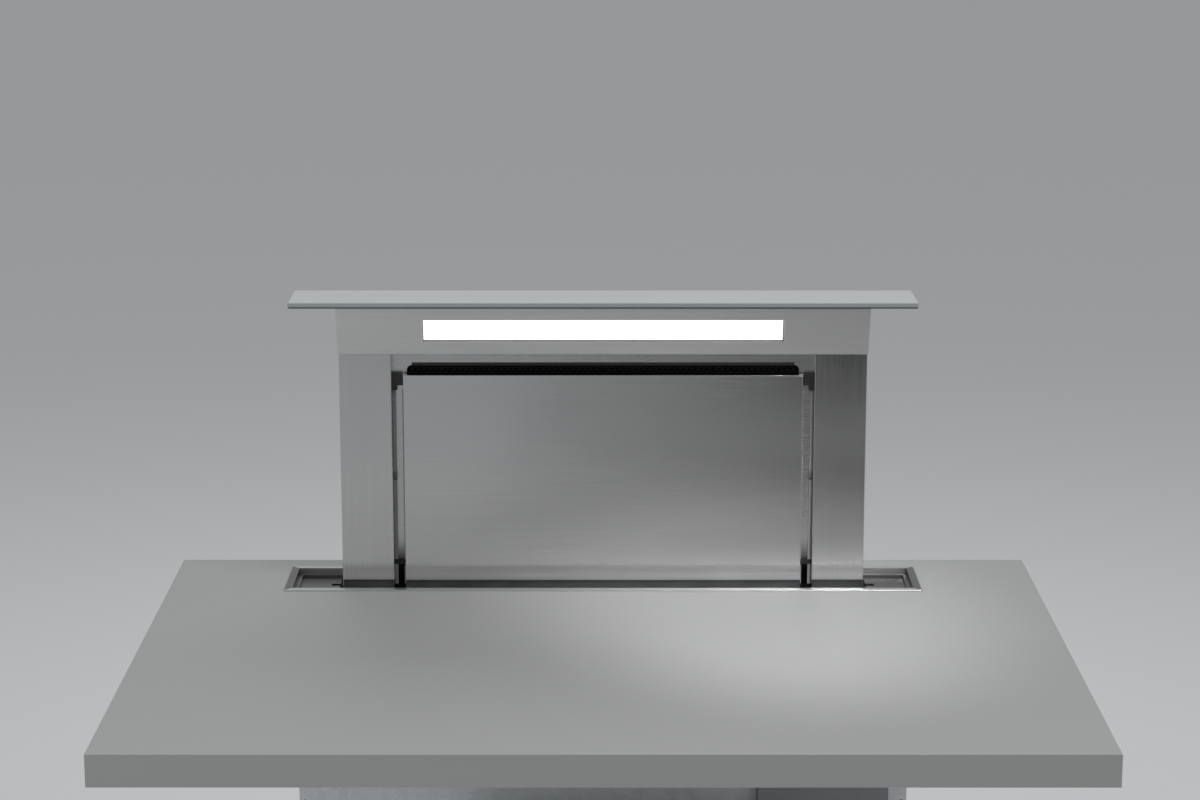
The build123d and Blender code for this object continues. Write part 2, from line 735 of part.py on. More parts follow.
def make_shoes():
    """Sliding shoes on arms, two each side."""
    shoes = []
    arms = []
    half = rail_width / 2 - rail_sheet - shoe_gap
    for top in (upper_shoe_z, lower_shoe_z):
        middle = top - shoe_length / 2
        arm_z = (middle - shoe_arm_height / 2, middle + shoe_arm_height / 2)
        shoe_x = (rail_inner_x + 2, housing_inner_x - rail_sheet - shoe_gap)
        shoe = block(shoe_x, (rail_middle_y - half, rail_middle_y + half), (top - shoe_length, top))
        shoe = chamfer(shoe.edges().filter_by(Axis.Y), 2)
        slot_x = (shoe_x[0] - 1, shoe_x[0] + shoe_arm_reach)
        arm_y = (rail_middle_y - shoe_arm_sheet / 2, rail_middle_y + shoe_arm_sheet / 2)
        shoe -= block(slot_x, arm_y, arm_z)
        arm = block((upright_outer_x, slot_x[1]), arm_y, arm_z)
        arm += block((upright_outer_x, upright_outer_x + shoe_arm_sheet),
                     (upright_front_y + 2, upright_back_y - 2), arm_z)
        shoes += both_sides(shoe)
        arms += both_sides(arm)
    save("guide_shoes", shoes)
    save("shoe_arms", arms)


def make_filter_frame():
    """Sheet behind the panel with the wide opening that the filters cover."""
    edge_x = upright_inner_x
    sheet_y = (filter_frame_y, filter_frame_y + tower_sheet)
    frame = block((-edge_x, edge_x), sheet_y, (bottom_rail_top_z, column_top_z))
    middle_z = (filter_opening_bottom_z + filter_opening_top_z) / 2
    opening = RectangleRounded(filter_opening_width, filter_opening_top_z - filter_opening_bottom_z,
                               filter_opening_corner)
    cutter = Plane.XZ.location * extrude(opening, 20, both=True)
    frame -= Pos(0, filter_frame_y, middle_z) * cutter
    shelf_top = filter_opening_bottom_z - filter_lap
    shelf_x = filter_opening_width / 2 + filter_lap
    frame += block((-shelf_x, shelf_x), (sheet_y[1], sheet_y[1] + filter_thickness + 2),
                   (shelf_top - filter_shelf, shelf_top))
    return frame


def make_filter(side):
    """One aluminium grease filter: rim, core and grip; side is -1 or 1."""
    near = filter_middle_gap / 2
    far = filter_opening_width / 2 + filter_lap
    x_span = sorted((side * near, side * far))
    z_span = (filter_opening_bottom_z - filter_lap, filter_opening_top_z + filter_lap)
    front = filter_frame_y + tower_sheet
    rim = block(x_span, (front, front + filter_thickness), z_span)
    inner_x = (x_span[0] + filter_rim, x_span[1] - filter_rim)
    inner_z = (z_span[0] + filter_rim, z_span[1] - filter_rim)
    rim -= block(inner_x, (front - 1, front + 1.5), inner_z)
    rim -= block(inner_x, (front + filter_thickness - 1.5, front + filter_thickness + 1), inner_z)
    grip_x = (inner_x[0] + inner_x[1]) / 2
    grip_z = inner_z[0] + grip_rise
    half = grip_width / 2
    grip = block((grip_x - half, grip_x + half), (front, front + 1.5), (grip_z, grip_z + grip_height))
    grip -= block((grip_x - half + grip_rim, grip_x + half - grip_rim), (front - 1, front + 1.5),
                  (grip_z + grip_rim, grip_z + grip_height - grip_rim))
    return rim + grip


def make_hooks_and_panel():
    """Hooks on the filter frame and the suction panel that hangs on them."""
    back_y = panel_front_y + tower_sheet
    panel = block((-panel_half, panel_half), (panel_front_y, panel_front_y + panel_return),
                  (panel_bottom_z, panel_top_z))
    front_rim = panel.edges().group_by(Axis.Y)[0]
    panel = fillet(front_rim, panel_edge)
    panel -= block((-panel_half + tower_sheet, panel_half - tower_sheet),
                   (back_y, panel_front_y + panel_return + 1),
                   (panel_bottom_z + tower_sheet, panel_top_z - tower_sheet))

    hooks = []
    hook_front = panel_front_y + panel_return + hook_gap
    hook_outer = column_inner_x
    for level in (upper_hook_z, lower_hook_z):
        shelf_top = level + hook_sheet
        hook_x = (panel_half - hook_reach - 2, panel_half + 1.5)
        hook = block(hook_x, (hook_front, filter_frame_y), (level, shelf_top))
        hook += block(hook_x, (hook_front, hook_front + hook_sheet), (level, shelf_top + hook_lip))
        if level == upper_hook_z:
            hook += block((hook_x[1], hook_outer), (hook_front, filter_frame_y),
                          (level, level + hook_block_height))
            hook += block((hook_outer - hook_step_width, hook_outer), (hook_front, filter_frame_y),
                          (level - hook_step_height, level))
        else:
            hook += block((hook_x[1], hook_outer), (filter_frame_y - 3, filter_frame_y),
                          (level, level + 6))
        hooks += both_sides(hook)

        tab_x = (panel_half - hook_reach, panel_half - tower_sheet)
        tab_y = (hook_front + hook_sheet + 0.5, hook_front + 2 * hook_sheet + 0.5)
        tab_top = shelf_top + hook_lip + hanger_clearance + hook_sheet
        tab = block(tab_x, (back_y, tab_y[1]), (tab_top - hook_sheet, tab_top))
        tab += block(tab_x, tab_y, (shelf_top, tab_top))
        for hanger in both_sides(tab):
            panel += hanger
    save("panel_hooks", hooks)
    save("suction_panel", panel)


# ---------------------------------------------------------------- blower
def make_blower_box():
    """Box on the front of the housing: walls, back plate, cover and screws."""
    side = blower_side_x
    z_span = (blower_bottom_z, blower_top_z)
    sheet = blower_sheet
    walls = block((-side, side), (blower_front_y, blower_back_y - sheet), z_span)
    walls -= block((-side + sheet, side - sheet), (blower_front_y - 1, blower_back_y),
                   (z_span[0] + sheet, z_span[1] - sheet))
    walls -= rod_x(collar_radius - collar_wall, (side - 5, side + 1), collar_y, collar_z)
    save("blower_box", walls)

    plate = block((-side, side), (blower_back_y - sheet, blower_back_y), z_span)
    plate -= rod_y(inlet_mouth_radius, (blower_back_y - 5, blower_back_y + 1), impeller_x, impeller_z)
    save("blower_back_plate", plate)

    cover = block((-side, side), (blower_front_y - sheet, blower_front_y), z_span)
    cover = fillet(cover.edges().filter_by(Axis.Y), 3)
    margin = cover_panel_margin
    cover += block((-side + margin, side - margin),
                   (blower_front_y - sheet - cover_panel_rise, blower_front_y - sheet),
                   (z_span[0] + margin, z_span[1] - margin))
    save("blower_cover", cover)

    screws = []
    for x in (-side + 12, side - 12):
        for z in (z_span[0] + 12, (z_span[0] + z_span[1]) / 2, z_span[1] - 12):
            head_y = (blower_front_y - sheet - screw_head_height, blower_front_y - sheet)
            screws.append(hex_head(screw_head_radius, head_y, x, z))
    save("blower_cover_screws", screws)


def scroll_face(inset):
    """The scroll's outline, drawn in by the inset, as a face in the XZ plane."""
    sweep = 360 - (90 - scroll_start_angle)
    samples = 9
    spiral = []
    for index in range(samples):
        share = index / (samples - 1)
        radius = scroll_start_radius + (scroll_end_radius - scroll_start_radius) * share - inset
        angle = math.radians(scroll_start_angle - sweep * share)
        spiral.append((impeller_x + radius * math.cos(angle), impeller_z + radius * math.sin(angle)))
    outlet_x = blower_side_x - blower_sheet
    top = impeller_z + scroll_end_radius - inset
    bottom = scroll_outlet_bottom_z + inset
    corners = [(x, 0, z) for x, z in spiral]
    arcs = [ThreePointArc(*corners[start:start + 3]) for start in range(0, samples - 1, 2)]
    rest = Polyline(corners[-1], (outlet_x, 0, top), (outlet_x, 0, bottom), corners[0])
    return make_face(arcs + [rest])


def make_scroll():
    """Snail-shaped shell round the impeller, open to the inlet and the duct."""
    outer = extrude(scroll_face(0), scroll_back_y - scroll_front_y, dir=(0, 1, 0))
    inner_depth = scroll_back_y - scroll_front_y - 2 * scroll_sheet
    inner = extrude(scroll_face(scroll_sheet), inner_depth, dir=(0, 1, 0))
    shell = Pos(0, scroll_front_y, 0) * outer - Pos(0, scroll_front_y + scroll_sheet, 0) * inner
    outlet_x = blower_side_x - blower_sheet
    shell -= block((outlet_x - 3, outlet_x + 1),
                   (scroll_front_y + scroll_sheet, scroll_back_y - scroll_sheet),
                   (scroll_outlet_bottom_z + scroll_sheet + 1, impeller_z + scroll_end_radius - scroll_sheet - 1))
    shell -= rod_y(inlet_mouth_radius, (scroll_back_y - 3, scroll_back_y + 1), impeller_x, impeller_z)
    shell -= rod_y(motor_radius + 1, (scroll_front_y - 1, scroll_front_y + 3), impeller_x, impeller_z)
    return shell


def make_inlet_ring():
    """Flared mouth that leads the air from the housing into the impeller."""
    throat = inlet_throat_radius
    mouth = inlet_mouth_radius
    lip_y = -housing_inner_y
    end_y = impeller_back_y + 1.0
    flare = lip_y - end_y
    sheet = inlet_sheet
    bend = throat + (mouth - throat) * 0.25
    profile = Polyline((mouth, lip_y + sheet, 0), (bend, lip_y + sheet - flare * 0.45, 0),
                       (throat, end_y, 0), (throat + sheet, end_y, 0),
                       (bend + sheet, lip_y - flare * 0.45, 0), (mouth - 0.5, lip_y, 0),
                       (mouth + 10, lip_y, 0), (mouth + 10, lip_y + sheet, 0), close=True)
    ring = revolve(make_face(profile), Axis.Y, 360)
    return Pos(impeller_x, 0, impeller_z) * ring


def blade_face():
    """One forward-curved blade's section as a face about the impeller's axis."""
    lean = math.radians(blade_lean)
    root = impeller_inner_radius
    tip = impeller_radius - 1.0
    middle = (root + tip) / 2

    def at(radius, angle, offset):
        spread = angle + offset / radius
        return (radius * math.cos(spread), 0, radius * math.sin(spread))

    half = blade_thickness / 2
    spine = [(root, 0.0), (middle, lean * 0.10), (tip, lean * 0.45)]
    front = [at(radius, angle, half) for radius, angle in spine]
    back = [at(radius, angle, -half) for radius, angle in reversed(spine)]
    return make_face(Polyline(*front, *back, close=True))


def make_impeller():
    """Squirrel-cage wheel: back disc with hub, blades and front ring."""
    place = Pos(impeller_x, impeller_front_y, impeller_z)
    disc = rod_y(impeller_radius, (0, impeller_sheet), 0, 0)
    disc += rod_y(impeller_hub_radius, (0, impeller_hub_length), 0, 0)
    disc -= rod_y(motor_shaft_radius + bearing_gap, (-1, impeller_hub_length + 1), 0, 0)
    save("impeller_disc", place * disc)

    ring = rod_y(impeller_radius, (impeller_length - impeller_sheet, impeller_length), 0, 0)
    ring -= rod_y(impeller_inner_radius - 1, (0, impeller_length + 1), 0, 0)
    save("impeller_ring", place * ring)

    blade = extrude(blade_face(), impeller_length - 2 * impeller_sheet, dir=(0, 1, 0))
    blade = Pos(0, impeller_sheet, 0) * blade
    save("impeller_blades", [place * Rot(0, 360 * index / blade_count, 0) * blade
                             for index in range(blade_count)])


def make_motor():
    """Fan motor on its plate, with the shaft that carries the impeller."""
    plate_back = scroll_front_y
    plate_front = plate_back - motor_plate_thickness
    half = motor_plate_half
    plate = block((impeller_x - half, impeller_x + half), (plate_front, plate_back),
                  (impeller_z - half, impeller_z + half))
    plate -= rod_y(motor_shaft_radius + 2, (plate_front - 1, plate_back + 1), impeller_x, impeller_z)
    save("motor_plate", plate)

    motor_back = plate_front
    motor = rod_y(motor_radius, (motor_back - motor_length, motor_back), impeller_x, impeller_z)
    motor = chamfer(motor.edges().group_by(Axis.Y)[0], 5)
    motor += rod_y(motor_shaft_radius, (motor_back, impeller_front_y + impeller_hub_length - 2),
                   impeller_x, impeller_z)
    save("fan_motor", motor)


def make_collar():
    """Round duct collar on the box's side, its pin and two damper flaps."""
    wall_x = blower_side_x
    end_x = wall_x + collar_length
    half = collar_flange_half
    collar = block((wall_x, wall_x + collar_wall), (collar_y - half, collar_y + half),
                   (collar_z - half, collar_z + half))
    collar += rod_x(collar_radius, (wall_x, end_x), collar_y, collar_z)
    bore = collar_radius - collar_wall
    collar -= rod_x(bore, (wall_x - 1, end_x + 1), collar_y, collar_z)
    pin_x = wall_x + damper_pin_x
    pin_z = (collar_z - bore - collar_wall / 2, collar_z + bore + collar_wall / 2)
    collar -= rod_z(damper_pin_radius, pin_z, pin_x, collar_y)
    save("duct_collar", collar)
    save("damper_pin", rod_z(damper_pin_radius, pin_z, pin_x, collar_y))

    plate_x = (pin_x - flap_thickness / 2, pin_x + flap_thickness / 2)
    disc = rod_x(bore - flap_gap, plate_x, collar_y, collar_z)
    knuckle_places = {"front": (-2, 0), "rear": (-1, 1)}
    pitch = knuckle_length + knuckle_gap
    for name, slots in knuckle_places.items():
        way = -1 if name == "front" else 1
        near = collar_y + way * (knuckle_radius + knuckle_gap)
        far = collar_y + way * bore
        flap = disc & block(plate_x, sorted((near, far)), (collar_z - bore, collar_z + bore))
        for slot in slots:
            low = collar_z + slot * pitch + knuckle_gap / 2
            barrel = rod_z(knuckle_radius, (low, low + knuckle_length), pin_x, collar_y)
            tongue = block(plate_x, sorted((collar_y, near + way * 0.5)), (low, low + knuckle_length))
            flap += barrel + tongue
        flap -= rod_z(damper_pin_radius + bearing_gap, pin_z, pin_x, collar_y)
        save("damper_flap_" + name, flap)


# ---------------------------------------------------------------- control box
def make_control_box():
    """Electronics box, its lid, the lid's screws and the cable gland."""
    x_span = (control_box_left_x, control_box_left_x + control_box_width)
    z_span = (control_box_top_z - control_box_height, control_box_top_z)
    back = -housing_outer_y
    front = back - control_box_depth
    sheet = control_box_sheet
    box = block(x_span, (front, back), z_span)
    box = fillet(box.edges().filter_by(Axis.Y), 4)
    box -= block((x_span[0] + sheet, x_span[1] - sheet), (front - 1, back - sheet),
                 (z_span[0] + sheet, z_span[1] - sheet))
    gland_x = x_span[1] - 30
    gland_y = (front + back) / 2
    box -= rod_z(gland_radius - 2, (z_span[0] - 1, z_span[0] + sheet + 1), gland_x, gland_y)
    save("control_box", box)

    lid = block(x_span, (front - sheet, front), z_span)
    lid = fillet(lid.edges().filter_by(Axis.Y), 4)
    save("control_box_lid", lid)
    screws = []
    for x in (x_span[0] + 10, x_span[1] - 10):
        for z in (z_span[0] + 10, z_span[1] - 10):
            head_y = (front - sheet - screw_head_height, front - sheet)
            screws.append(hex_head(screw_head_radius, head_y, x, z))
    save("control_lid_screws", screws)

    gland = hex_nut(gland_radius + 2, (z_span[0] - 6, z_span[0]), gland_x, gland_y)
    gland += rod_z(gland_radius, (z_span[0] - gland_length, z_span[0] - 6), gland_x, gland_y)
    gland += rod_z(gland_radius - 2, (z_span[0], z_span[0] + sheet + 4), gland_x, gland_y)
    gland -= rod_z(gland_radius - 5, (z_span[0] - gland_length - 1, z_span[0] + sheet + 5),
                   gland_x, gland_y)
    save("cable_gland", gland)


# ---------------------------------------------------------------- build
save("trim_frame", make_trim_frame())
make_housing()
save_pair("guide_rail", make_guide_rail())
save("travel_bumpers", both_sides(make_bumper()))
make_clamps()
make_feet()
make_drive()
make_glass()
make_fascia()
save_pair("column", make_column())
make_carriage()
make_shoes()
save("filter_frame", make_filter_frame())
save("grease_filter_left", make_filter(-1))
save("grease_filter_right", make_filter(1))
make_hooks_and_panel()
make_blower_box()
save("scroll", make_scroll())
save("inlet_ring", make_inlet_ring())
make_impeller()
make_motor()
make_collar()
make_control_box()

os.makedirs("parts", exist_ok=True)
for node, piece in parts.items():
    export_step(piece, "parts/" + node + ".step")
print(len(parts), "sub-parts")
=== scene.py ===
# %% [markdown]
# # A kitchen downdraft vent
# The vent stands raised out of a worktop: a satin glass cap, a tilted front with
# a long lamp, two brushed steel columns and a brushed panel with air slots round
# it. Below the worktop hang its sheet-metal housing, the lift, the blower and
# the duct collar. The solids come from a CAD model, so this lesson is about
# finishes, light and the small parts that the solids leave out.

# %% Load the solids
import bpy
import bmesh
import math
from mathutils import Matrix, Vector


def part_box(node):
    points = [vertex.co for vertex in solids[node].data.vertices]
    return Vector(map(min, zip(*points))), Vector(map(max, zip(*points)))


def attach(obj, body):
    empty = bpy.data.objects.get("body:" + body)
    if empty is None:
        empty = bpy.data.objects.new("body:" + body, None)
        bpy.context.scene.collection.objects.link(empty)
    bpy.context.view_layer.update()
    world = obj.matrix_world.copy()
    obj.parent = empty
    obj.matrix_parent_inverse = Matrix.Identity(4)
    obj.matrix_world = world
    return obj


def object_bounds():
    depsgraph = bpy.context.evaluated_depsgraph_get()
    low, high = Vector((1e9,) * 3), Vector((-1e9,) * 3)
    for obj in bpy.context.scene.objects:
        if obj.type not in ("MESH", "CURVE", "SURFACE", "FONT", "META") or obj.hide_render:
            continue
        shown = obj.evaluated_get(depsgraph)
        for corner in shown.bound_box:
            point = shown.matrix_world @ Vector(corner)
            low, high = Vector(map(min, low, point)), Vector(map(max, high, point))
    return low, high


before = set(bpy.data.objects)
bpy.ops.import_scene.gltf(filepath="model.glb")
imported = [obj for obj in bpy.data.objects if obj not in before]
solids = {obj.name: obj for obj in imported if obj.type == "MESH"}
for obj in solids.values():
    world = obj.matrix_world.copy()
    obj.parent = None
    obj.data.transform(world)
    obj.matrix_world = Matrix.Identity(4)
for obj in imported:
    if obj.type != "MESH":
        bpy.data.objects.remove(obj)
cad_box = [list(corner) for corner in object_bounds()]
print("solids:", len(solids), "box:", cad_box)

# %% [markdown]
# ## Tools for finishes
# Sheet steel, galvanised sheet, moulded plastic and paint share a few effects:
# brushing lines, zinc flowers, grain and the faint marks of hands. Each effect
# is one node group with named inputs, made once and placed in every material
# that needs it with that material's own values.

# %% A helper that starts a node group
def start_group(name, inputs, outputs):
    group = bpy.data.node_groups.new(name, "ShaderNodeTree")
    for title, kind, value in inputs:
        socket = group.interface.new_socket(title, in_out="INPUT", socket_type=kind)
        socket.default_value = value
    for title, kind in outputs:
        group.interface.new_socket(title, in_out="OUTPUT", socket_type=kind)
    print("node group:", name)
    return group, group.nodes.new("NodeGroupInput"), group.nodes.new("NodeGroupOutput")


def add(tree, kind, **settings):
    node = tree.nodes.new(kind)
    for name, value in settings.items():
        setattr(node, name, value)
    return node

# %% [markdown]
# Brushing is a noise drawn out along one axis. The group multiplies the object's
# coordinates by a scale for each axis, so one group serves brushing along the
# worktop and brushing up a column. A second, broad noise gives the slow change
# of tone that a large sheet has.

# %% Brushing lines
brushing, give, take = start_group(
    "Brushing lines",
    [("Vector", "NodeSocketVector", (0, 0, 0)), ("Lines per metre", "NodeSocketVector", (9, 700, 700))],
    [("Line", "NodeSocketFloat"), ("Cloud", "NodeSocketFloat")])
stretch = add(brushing, "ShaderNodeVectorMath", operation="MULTIPLY")
fine = add(brushing, "ShaderNodeTexNoise")
fine.inputs["Scale"].default_value = 1.0
fine.inputs["Detail"].default_value = 3.0
fine.inputs["Roughness"].default_value = 0.62
broad = add(brushing, "ShaderNodeTexNoise")
broad.inputs["Scale"].default_value = 5.0
broad.inputs["Detail"].default_value = 1.0
brushing.links.new(give.outputs["Vector"], stretch.inputs[0])
brushing.links.new(give.outputs["Lines per metre"], stretch.inputs[1])
brushing.links.new(stretch.outputs["Vector"], fine.inputs["Vector"])
brushing.links.new(give.outputs["Vector"], broad.inputs["Vector"])
brushing.links.new(fine.outputs["Fac"], take.inputs["Line"])
brushing.links.new(broad.outputs["Fac"], take.inputs["Cloud"])

# %% [markdown]
# Hands and cloths leave soft, irregular patches on kitchen steel and glass. A
# noise pushed through a range keeps only its upper part, so most of the surface
# stays clean.

# %% Handling marks
handling, give, take = start_group(
    "Handling marks",
    [("Vector", "NodeSocketVector", (0, 0, 0)), ("Scale", "NodeSocketFloat", 12.0)],
    [("Mark", "NodeSocketFloat")])
patches = add(handling, "ShaderNodeTexNoise")
patches.inputs["Detail"].default_value = 4.0
patches.inputs["Distortion"].default_value = 0.6
keep = add(handling, "ShaderNodeMapRange")
keep.inputs["From Min"].default_value = 0.50
keep.inputs["From Max"].default_value = 0.78
handling.links.new(give.outputs["Vector"], patches.inputs["Vector"])
handling.links.new(give.outputs["Scale"], patches.inputs["Scale"])
handling.links.new(patches.outputs["Fac"], keep.inputs["Value"])
handling.links.new(keep.outputs["Result"], take.inputs["Mark"])

# %% [markdown]
# Hot-dip zinc freezes into flowers about a centimetre across, each a little
# lighter or darker than the next. Voronoi cells give every flower its own tone.

# %% Zinc flowers
zinc, give, take = start_group(
    "Zinc flowers",
    [("Vector", "NodeSocketVector", (0, 0, 0)), ("Flowers per metre", "NodeSocketFloat", 95.0)],
    [("Tone", "NodeSocketFloat"), ("Frost", "NodeSocketFloat")])
warp = add(zinc, "ShaderNodeTexNoise")
warp.inputs["Scale"].default_value = 60.0
bend = add(zinc, "ShaderNodeVectorMath", operation="MULTIPLY_ADD")
bend.inputs[1].default_value = (0.012, 0.012, 0.012)
cells = add(zinc, "ShaderNodeTexVoronoi")
split = add(zinc, "ShaderNodeSeparateColor")
frost = add(zinc, "ShaderNodeTexNoise")
frost.inputs["Scale"].default_value = 420.0
frost.inputs["Detail"].default_value = 3.0
zinc.links.new(give.outputs["Vector"], warp.inputs["Vector"])
zinc.links.new(warp.outputs["Color"], bend.inputs[0])
zinc.links.new(give.outputs["Vector"], bend.inputs[2])
zinc.links.new(bend.outputs["Vector"], cells.inputs["Vector"])
zinc.links.new(give.outputs["Flowers per metre"], cells.inputs["Scale"])
zinc.links.new(cells.outputs["Color"], split.inputs["Color"])
zinc.links.new(give.outputs["Vector"], frost.inputs["Vector"])
zinc.links.new(split.outputs["Red"], take.inputs["Tone"])
zinc.links.new(frost.outputs["Fac"], take.inputs["Frost"])

# %% [markdown]
# Moulded plastic, powder coat and rubber all have a fine, even grain. Its height
# goes to a bump and its value breaks up the roughness a little.

# %% Fine grain
grain, give, take = start_group(
    "Fine grain",
    [("Vector", "NodeSocketVector", (0, 0, 0)), ("Grains per metre", "NodeSocketFloat", 1400.0)],
    [("Height", "NodeSocketFloat"), ("Cloud", "NodeSocketFloat")])
pores = add(grain, "ShaderNodeTexNoise")
pores.inputs["Detail"].default_value = 2.0
slow = add(grain, "ShaderNodeTexNoise")
slow.inputs["Scale"].default_value = 14.0
slow.inputs["Detail"].default_value = 3.0
grain.links.new(give.outputs["Vector"], pores.inputs["Vector"])
grain.links.new(give.outputs["Grains per metre"], pores.inputs["Scale"])
grain.links.new(give.outputs["Vector"], slow.inputs["Vector"])
grain.links.new(pores.outputs["Fac"], take.inputs["Height"])
grain.links.new(slow.outputs["Fac"], take.inputs["Cloud"])

# %% [markdown]
# Sheet that lies deep in a recess is painted darker than the polished rim above
# it, as painted shade. This group turns height into a mask: 0 below one level,
# 1 above another, and a smooth change between them.

# %% Depth fade
fade, give, take = start_group(
    "Depth fade",
    [("Vector", "NodeSocketVector", (0, 0, 0)), ("Dark below", "NodeSocketFloat", 0.0),
     ("Light above", "NodeSocketFloat", 0.01)],
    [("Mask", "NodeSocketFloat")])
height = add(fade, "ShaderNodeSeparateXYZ")
climb = add(fade, "ShaderNodeMapRange", interpolation_type="SMOOTHSTEP")
fade.links.new(give.outputs["Vector"], height.inputs["Vector"])
fade.links.new(height.outputs["Z"], climb.inputs["Value"])
fade.links.new(give.outputs["Dark below"], climb.inputs["From Min"])
fade.links.new(give.outputs["Light above"], climb.inputs["From Max"])
fade.links.new(climb.outputs["Result"], take.inputs["Mask"])

# %% Helpers that wire a material
def start_material(name, **plain):
    """A material with its shader, its object coordinates and plain shader values."""
    material = bpy.data.materials.new(name)
    material.use_nodes = True
    tree = material.node_tree
    shader = tree.nodes["Principled BSDF"]
    for title, value in plain.items():
        shader.inputs[title.replace("_", " ")].default_value = value
    where = add(tree, "ShaderNodeTexCoord")
    print("material:", name)
    return material, tree, shader, where.outputs["Object"]


def place_group(tree, group, where, **values):
    node = add(tree, "ShaderNodeGroup", node_tree=group)
    tree.links.new(where, node.inputs["Vector"])
    for title, value in values.items():
        node.inputs[title.replace("_", " ")].default_value = value
    return node


def tone(tree, factor, dark, light, target=None):
    """Two colours mixed by a factor into a colour socket."""
    mix = add(tree, "ShaderNodeMix", data_type="RGBA")
    mix.inputs[6].default_value = (*dark, 1)
    mix.inputs[7].default_value = (*light, 1)
    tree.links.new(factor, mix.inputs[0])
    if target:
        tree.links.new(mix.outputs[2], target)
    return mix


def sink(tree, where, mix, deep, dark_below, light_above, target):
    """Turns a mixed colour into a deeper one below a level of the object."""
    mask = place_group(tree, fade, where, Dark_below=dark_below, Light_above=light_above)
    lower = add(tree, "ShaderNodeMix", data_type="RGBA")
    lower.inputs[6].default_value = (*deep, 1)
    tree.links.new(mask.outputs["Mask"], lower.inputs[0])
    tree.links.new(mix.outputs[2], lower.inputs[7])
    tree.links.new(lower.outputs[2], target)


def spread(tree, factor, low, high, target=None):
    """A factor mapped to a range, for roughness and the like."""
    ranged = add(tree, "ShaderNodeMapRange")
    ranged.inputs["To Min"].default_value = low
    ranged.inputs["To Max"].default_value = high
    tree.links.new(factor, ranged.inputs["Value"])
    if target:
        tree.links.new(ranged.outputs["Result"], target)
    return ranged.outputs["Result"]


def join(tree, first, second, operation="ADD", target=None):
    maths = add(tree, "ShaderNodeMath", operation=operation)
    tree.links.new(first, maths.inputs[0])
    tree.links.new(second, maths.inputs[1])
    if target:
        tree.links.new(maths.outputs[0], target)
    return maths.outputs[0]


def bump(tree, height, depth, shader):
    """Height in a material turned into a small relief, its depth in metres."""
    relief = add(tree, "ShaderNodeBump")
    relief.inputs["Strength"].default_value = 1.0
    relief.inputs["Distance"].default_value = depth
    tree.links.new(height, relief.inputs["Height"])
    tree.links.new(relief.outputs["Normal"], shader.inputs["Normal"])


def shade(colour, factor):
    return tuple(channel * factor for channel in colour)


def dress(material, *names):
    """Gives a finish to CAD nodes through their material slots."""
    for name in names:
        for place in solids[name].material_slots:
            place.material = material

# %% [markdown]
# ## Brushed stainless steel
# The columns, the tilted front and the suction panel are brushed sheet. Real
# brushing is thousands of scratches that blur a reflection across their run, so
# the lines drive a very shallow bump and a little of the roughness, and only a
# trace of the colour. The panel and the front are brushed along the worktop, and
# the columns along their height. The trim is a frame with mitred corners: each
# leg is brushed along its own length, and its short legs get a much darker copy
# of the colour, painted shade that makes them look darker than the long ones.
#
# The foot of the raised tower gets a band of higher roughness just above the trim,
# as if cloths stopped there. That is a guess. It blurs the dark recess, which a
# polished foot would mirror sharply.

# %% Stainless finishes
line_dark, line_light = 0.90, 1.09


def short_legs(tree, where, mitre):
    """A mask that is 1 on the short legs of a frame with mitred corners."""
    apart = add(tree, "ShaderNodeSeparateXYZ")
    tree.links.new(where, apart.inputs["Vector"])
    sizes = []
    for axis in ("X", "Y"):
        size = add(tree, "ShaderNodeMath", operation="ABSOLUTE")
        tree.links.new(apart.outputs[axis], size.inputs[0])
        sizes.append(size.outputs[0])
    beyond = add(tree, "ShaderNodeMath", operation="GREATER_THAN")
    beyond.inputs[1].default_value = mitre
    tree.links.new(join(tree, sizes[0], sizes[1], "SUBTRACT"), beyond.inputs[0])
    return beyond.outputs[0]


def stainless(name, colour, lines, rough=0.30, depth=0.00003, recess=None, legs=None, worn=None):
    """Brushed sheet; recess gives a deeper colour, a painted shade, and the levels of its fade, legs the
    mitre of a frame's corners and the share of colour its short legs keep, also a painted shade, and worn the
    levels between which a dull band rises and ends, and the roughness it adds."""
    material, tree, shader, where = start_material(name, Metallic=1.0)
    lines_node = place_group(tree, brushing, where, Lines_per_metre=lines)
    marks = place_group(tree, handling, where, Scale=9.0)
    mix = tone(tree, lines_node.outputs["Line"], shade(colour, line_dark), shade(colour, line_light))
    # The short legs take a darker copy of the colour: painted shade.
    if legs:
        mitre, share = legs
        across = place_group(tree, brushing, where, Lines_per_metre=(lines[1], lines[0], lines[2]))
        painted_leg_shade = tone(tree, across.outputs["Line"], shade(colour, line_dark * share),
                      shade(colour, line_light * share))
        both = tone(tree, short_legs(tree, where, mitre), colour, colour)
        tree.links.new(mix.outputs[2], both.inputs[6])
        tree.links.new(painted_leg_shade.outputs[2], both.inputs[7])
        mix = both
    # Below the recess levels the colour turns deeper: painted shade.
    if recess:
        sink(tree, where, mix, *recess, shader.inputs["Base Color"])
    else:
        tree.links.new(mix.outputs[2], shader.inputs["Base Color"])
    base = spread(tree, lines_node.outputs["Line"], rough - 0.07, rough + 0.07)
    smear = spread(tree, marks.outputs["Mark"], 0.0, 0.05)
    cloud = spread(tree, lines_node.outputs["Cloud"], -0.02, 0.02)
    if worn:
        (rim_low, rim_high), (dull_until, clean_from), extra = worn
        above = place_group(tree, fade, where, Dark_below=rim_low, Light_above=rim_high)
        beyond = place_group(tree, fade, where, Dark_below=dull_until, Light_above=clean_from)
        band = join(tree, above.outputs["Mask"], beyond.outputs["Mask"], "SUBTRACT")
        base = join(tree, base, spread(tree, band, 0.0, extra))
    join(tree, join(tree, base, smear), cloud, target=shader.inputs["Roughness"])
    bump(tree, lines_node.outputs["Line"], depth, shader)
    return material


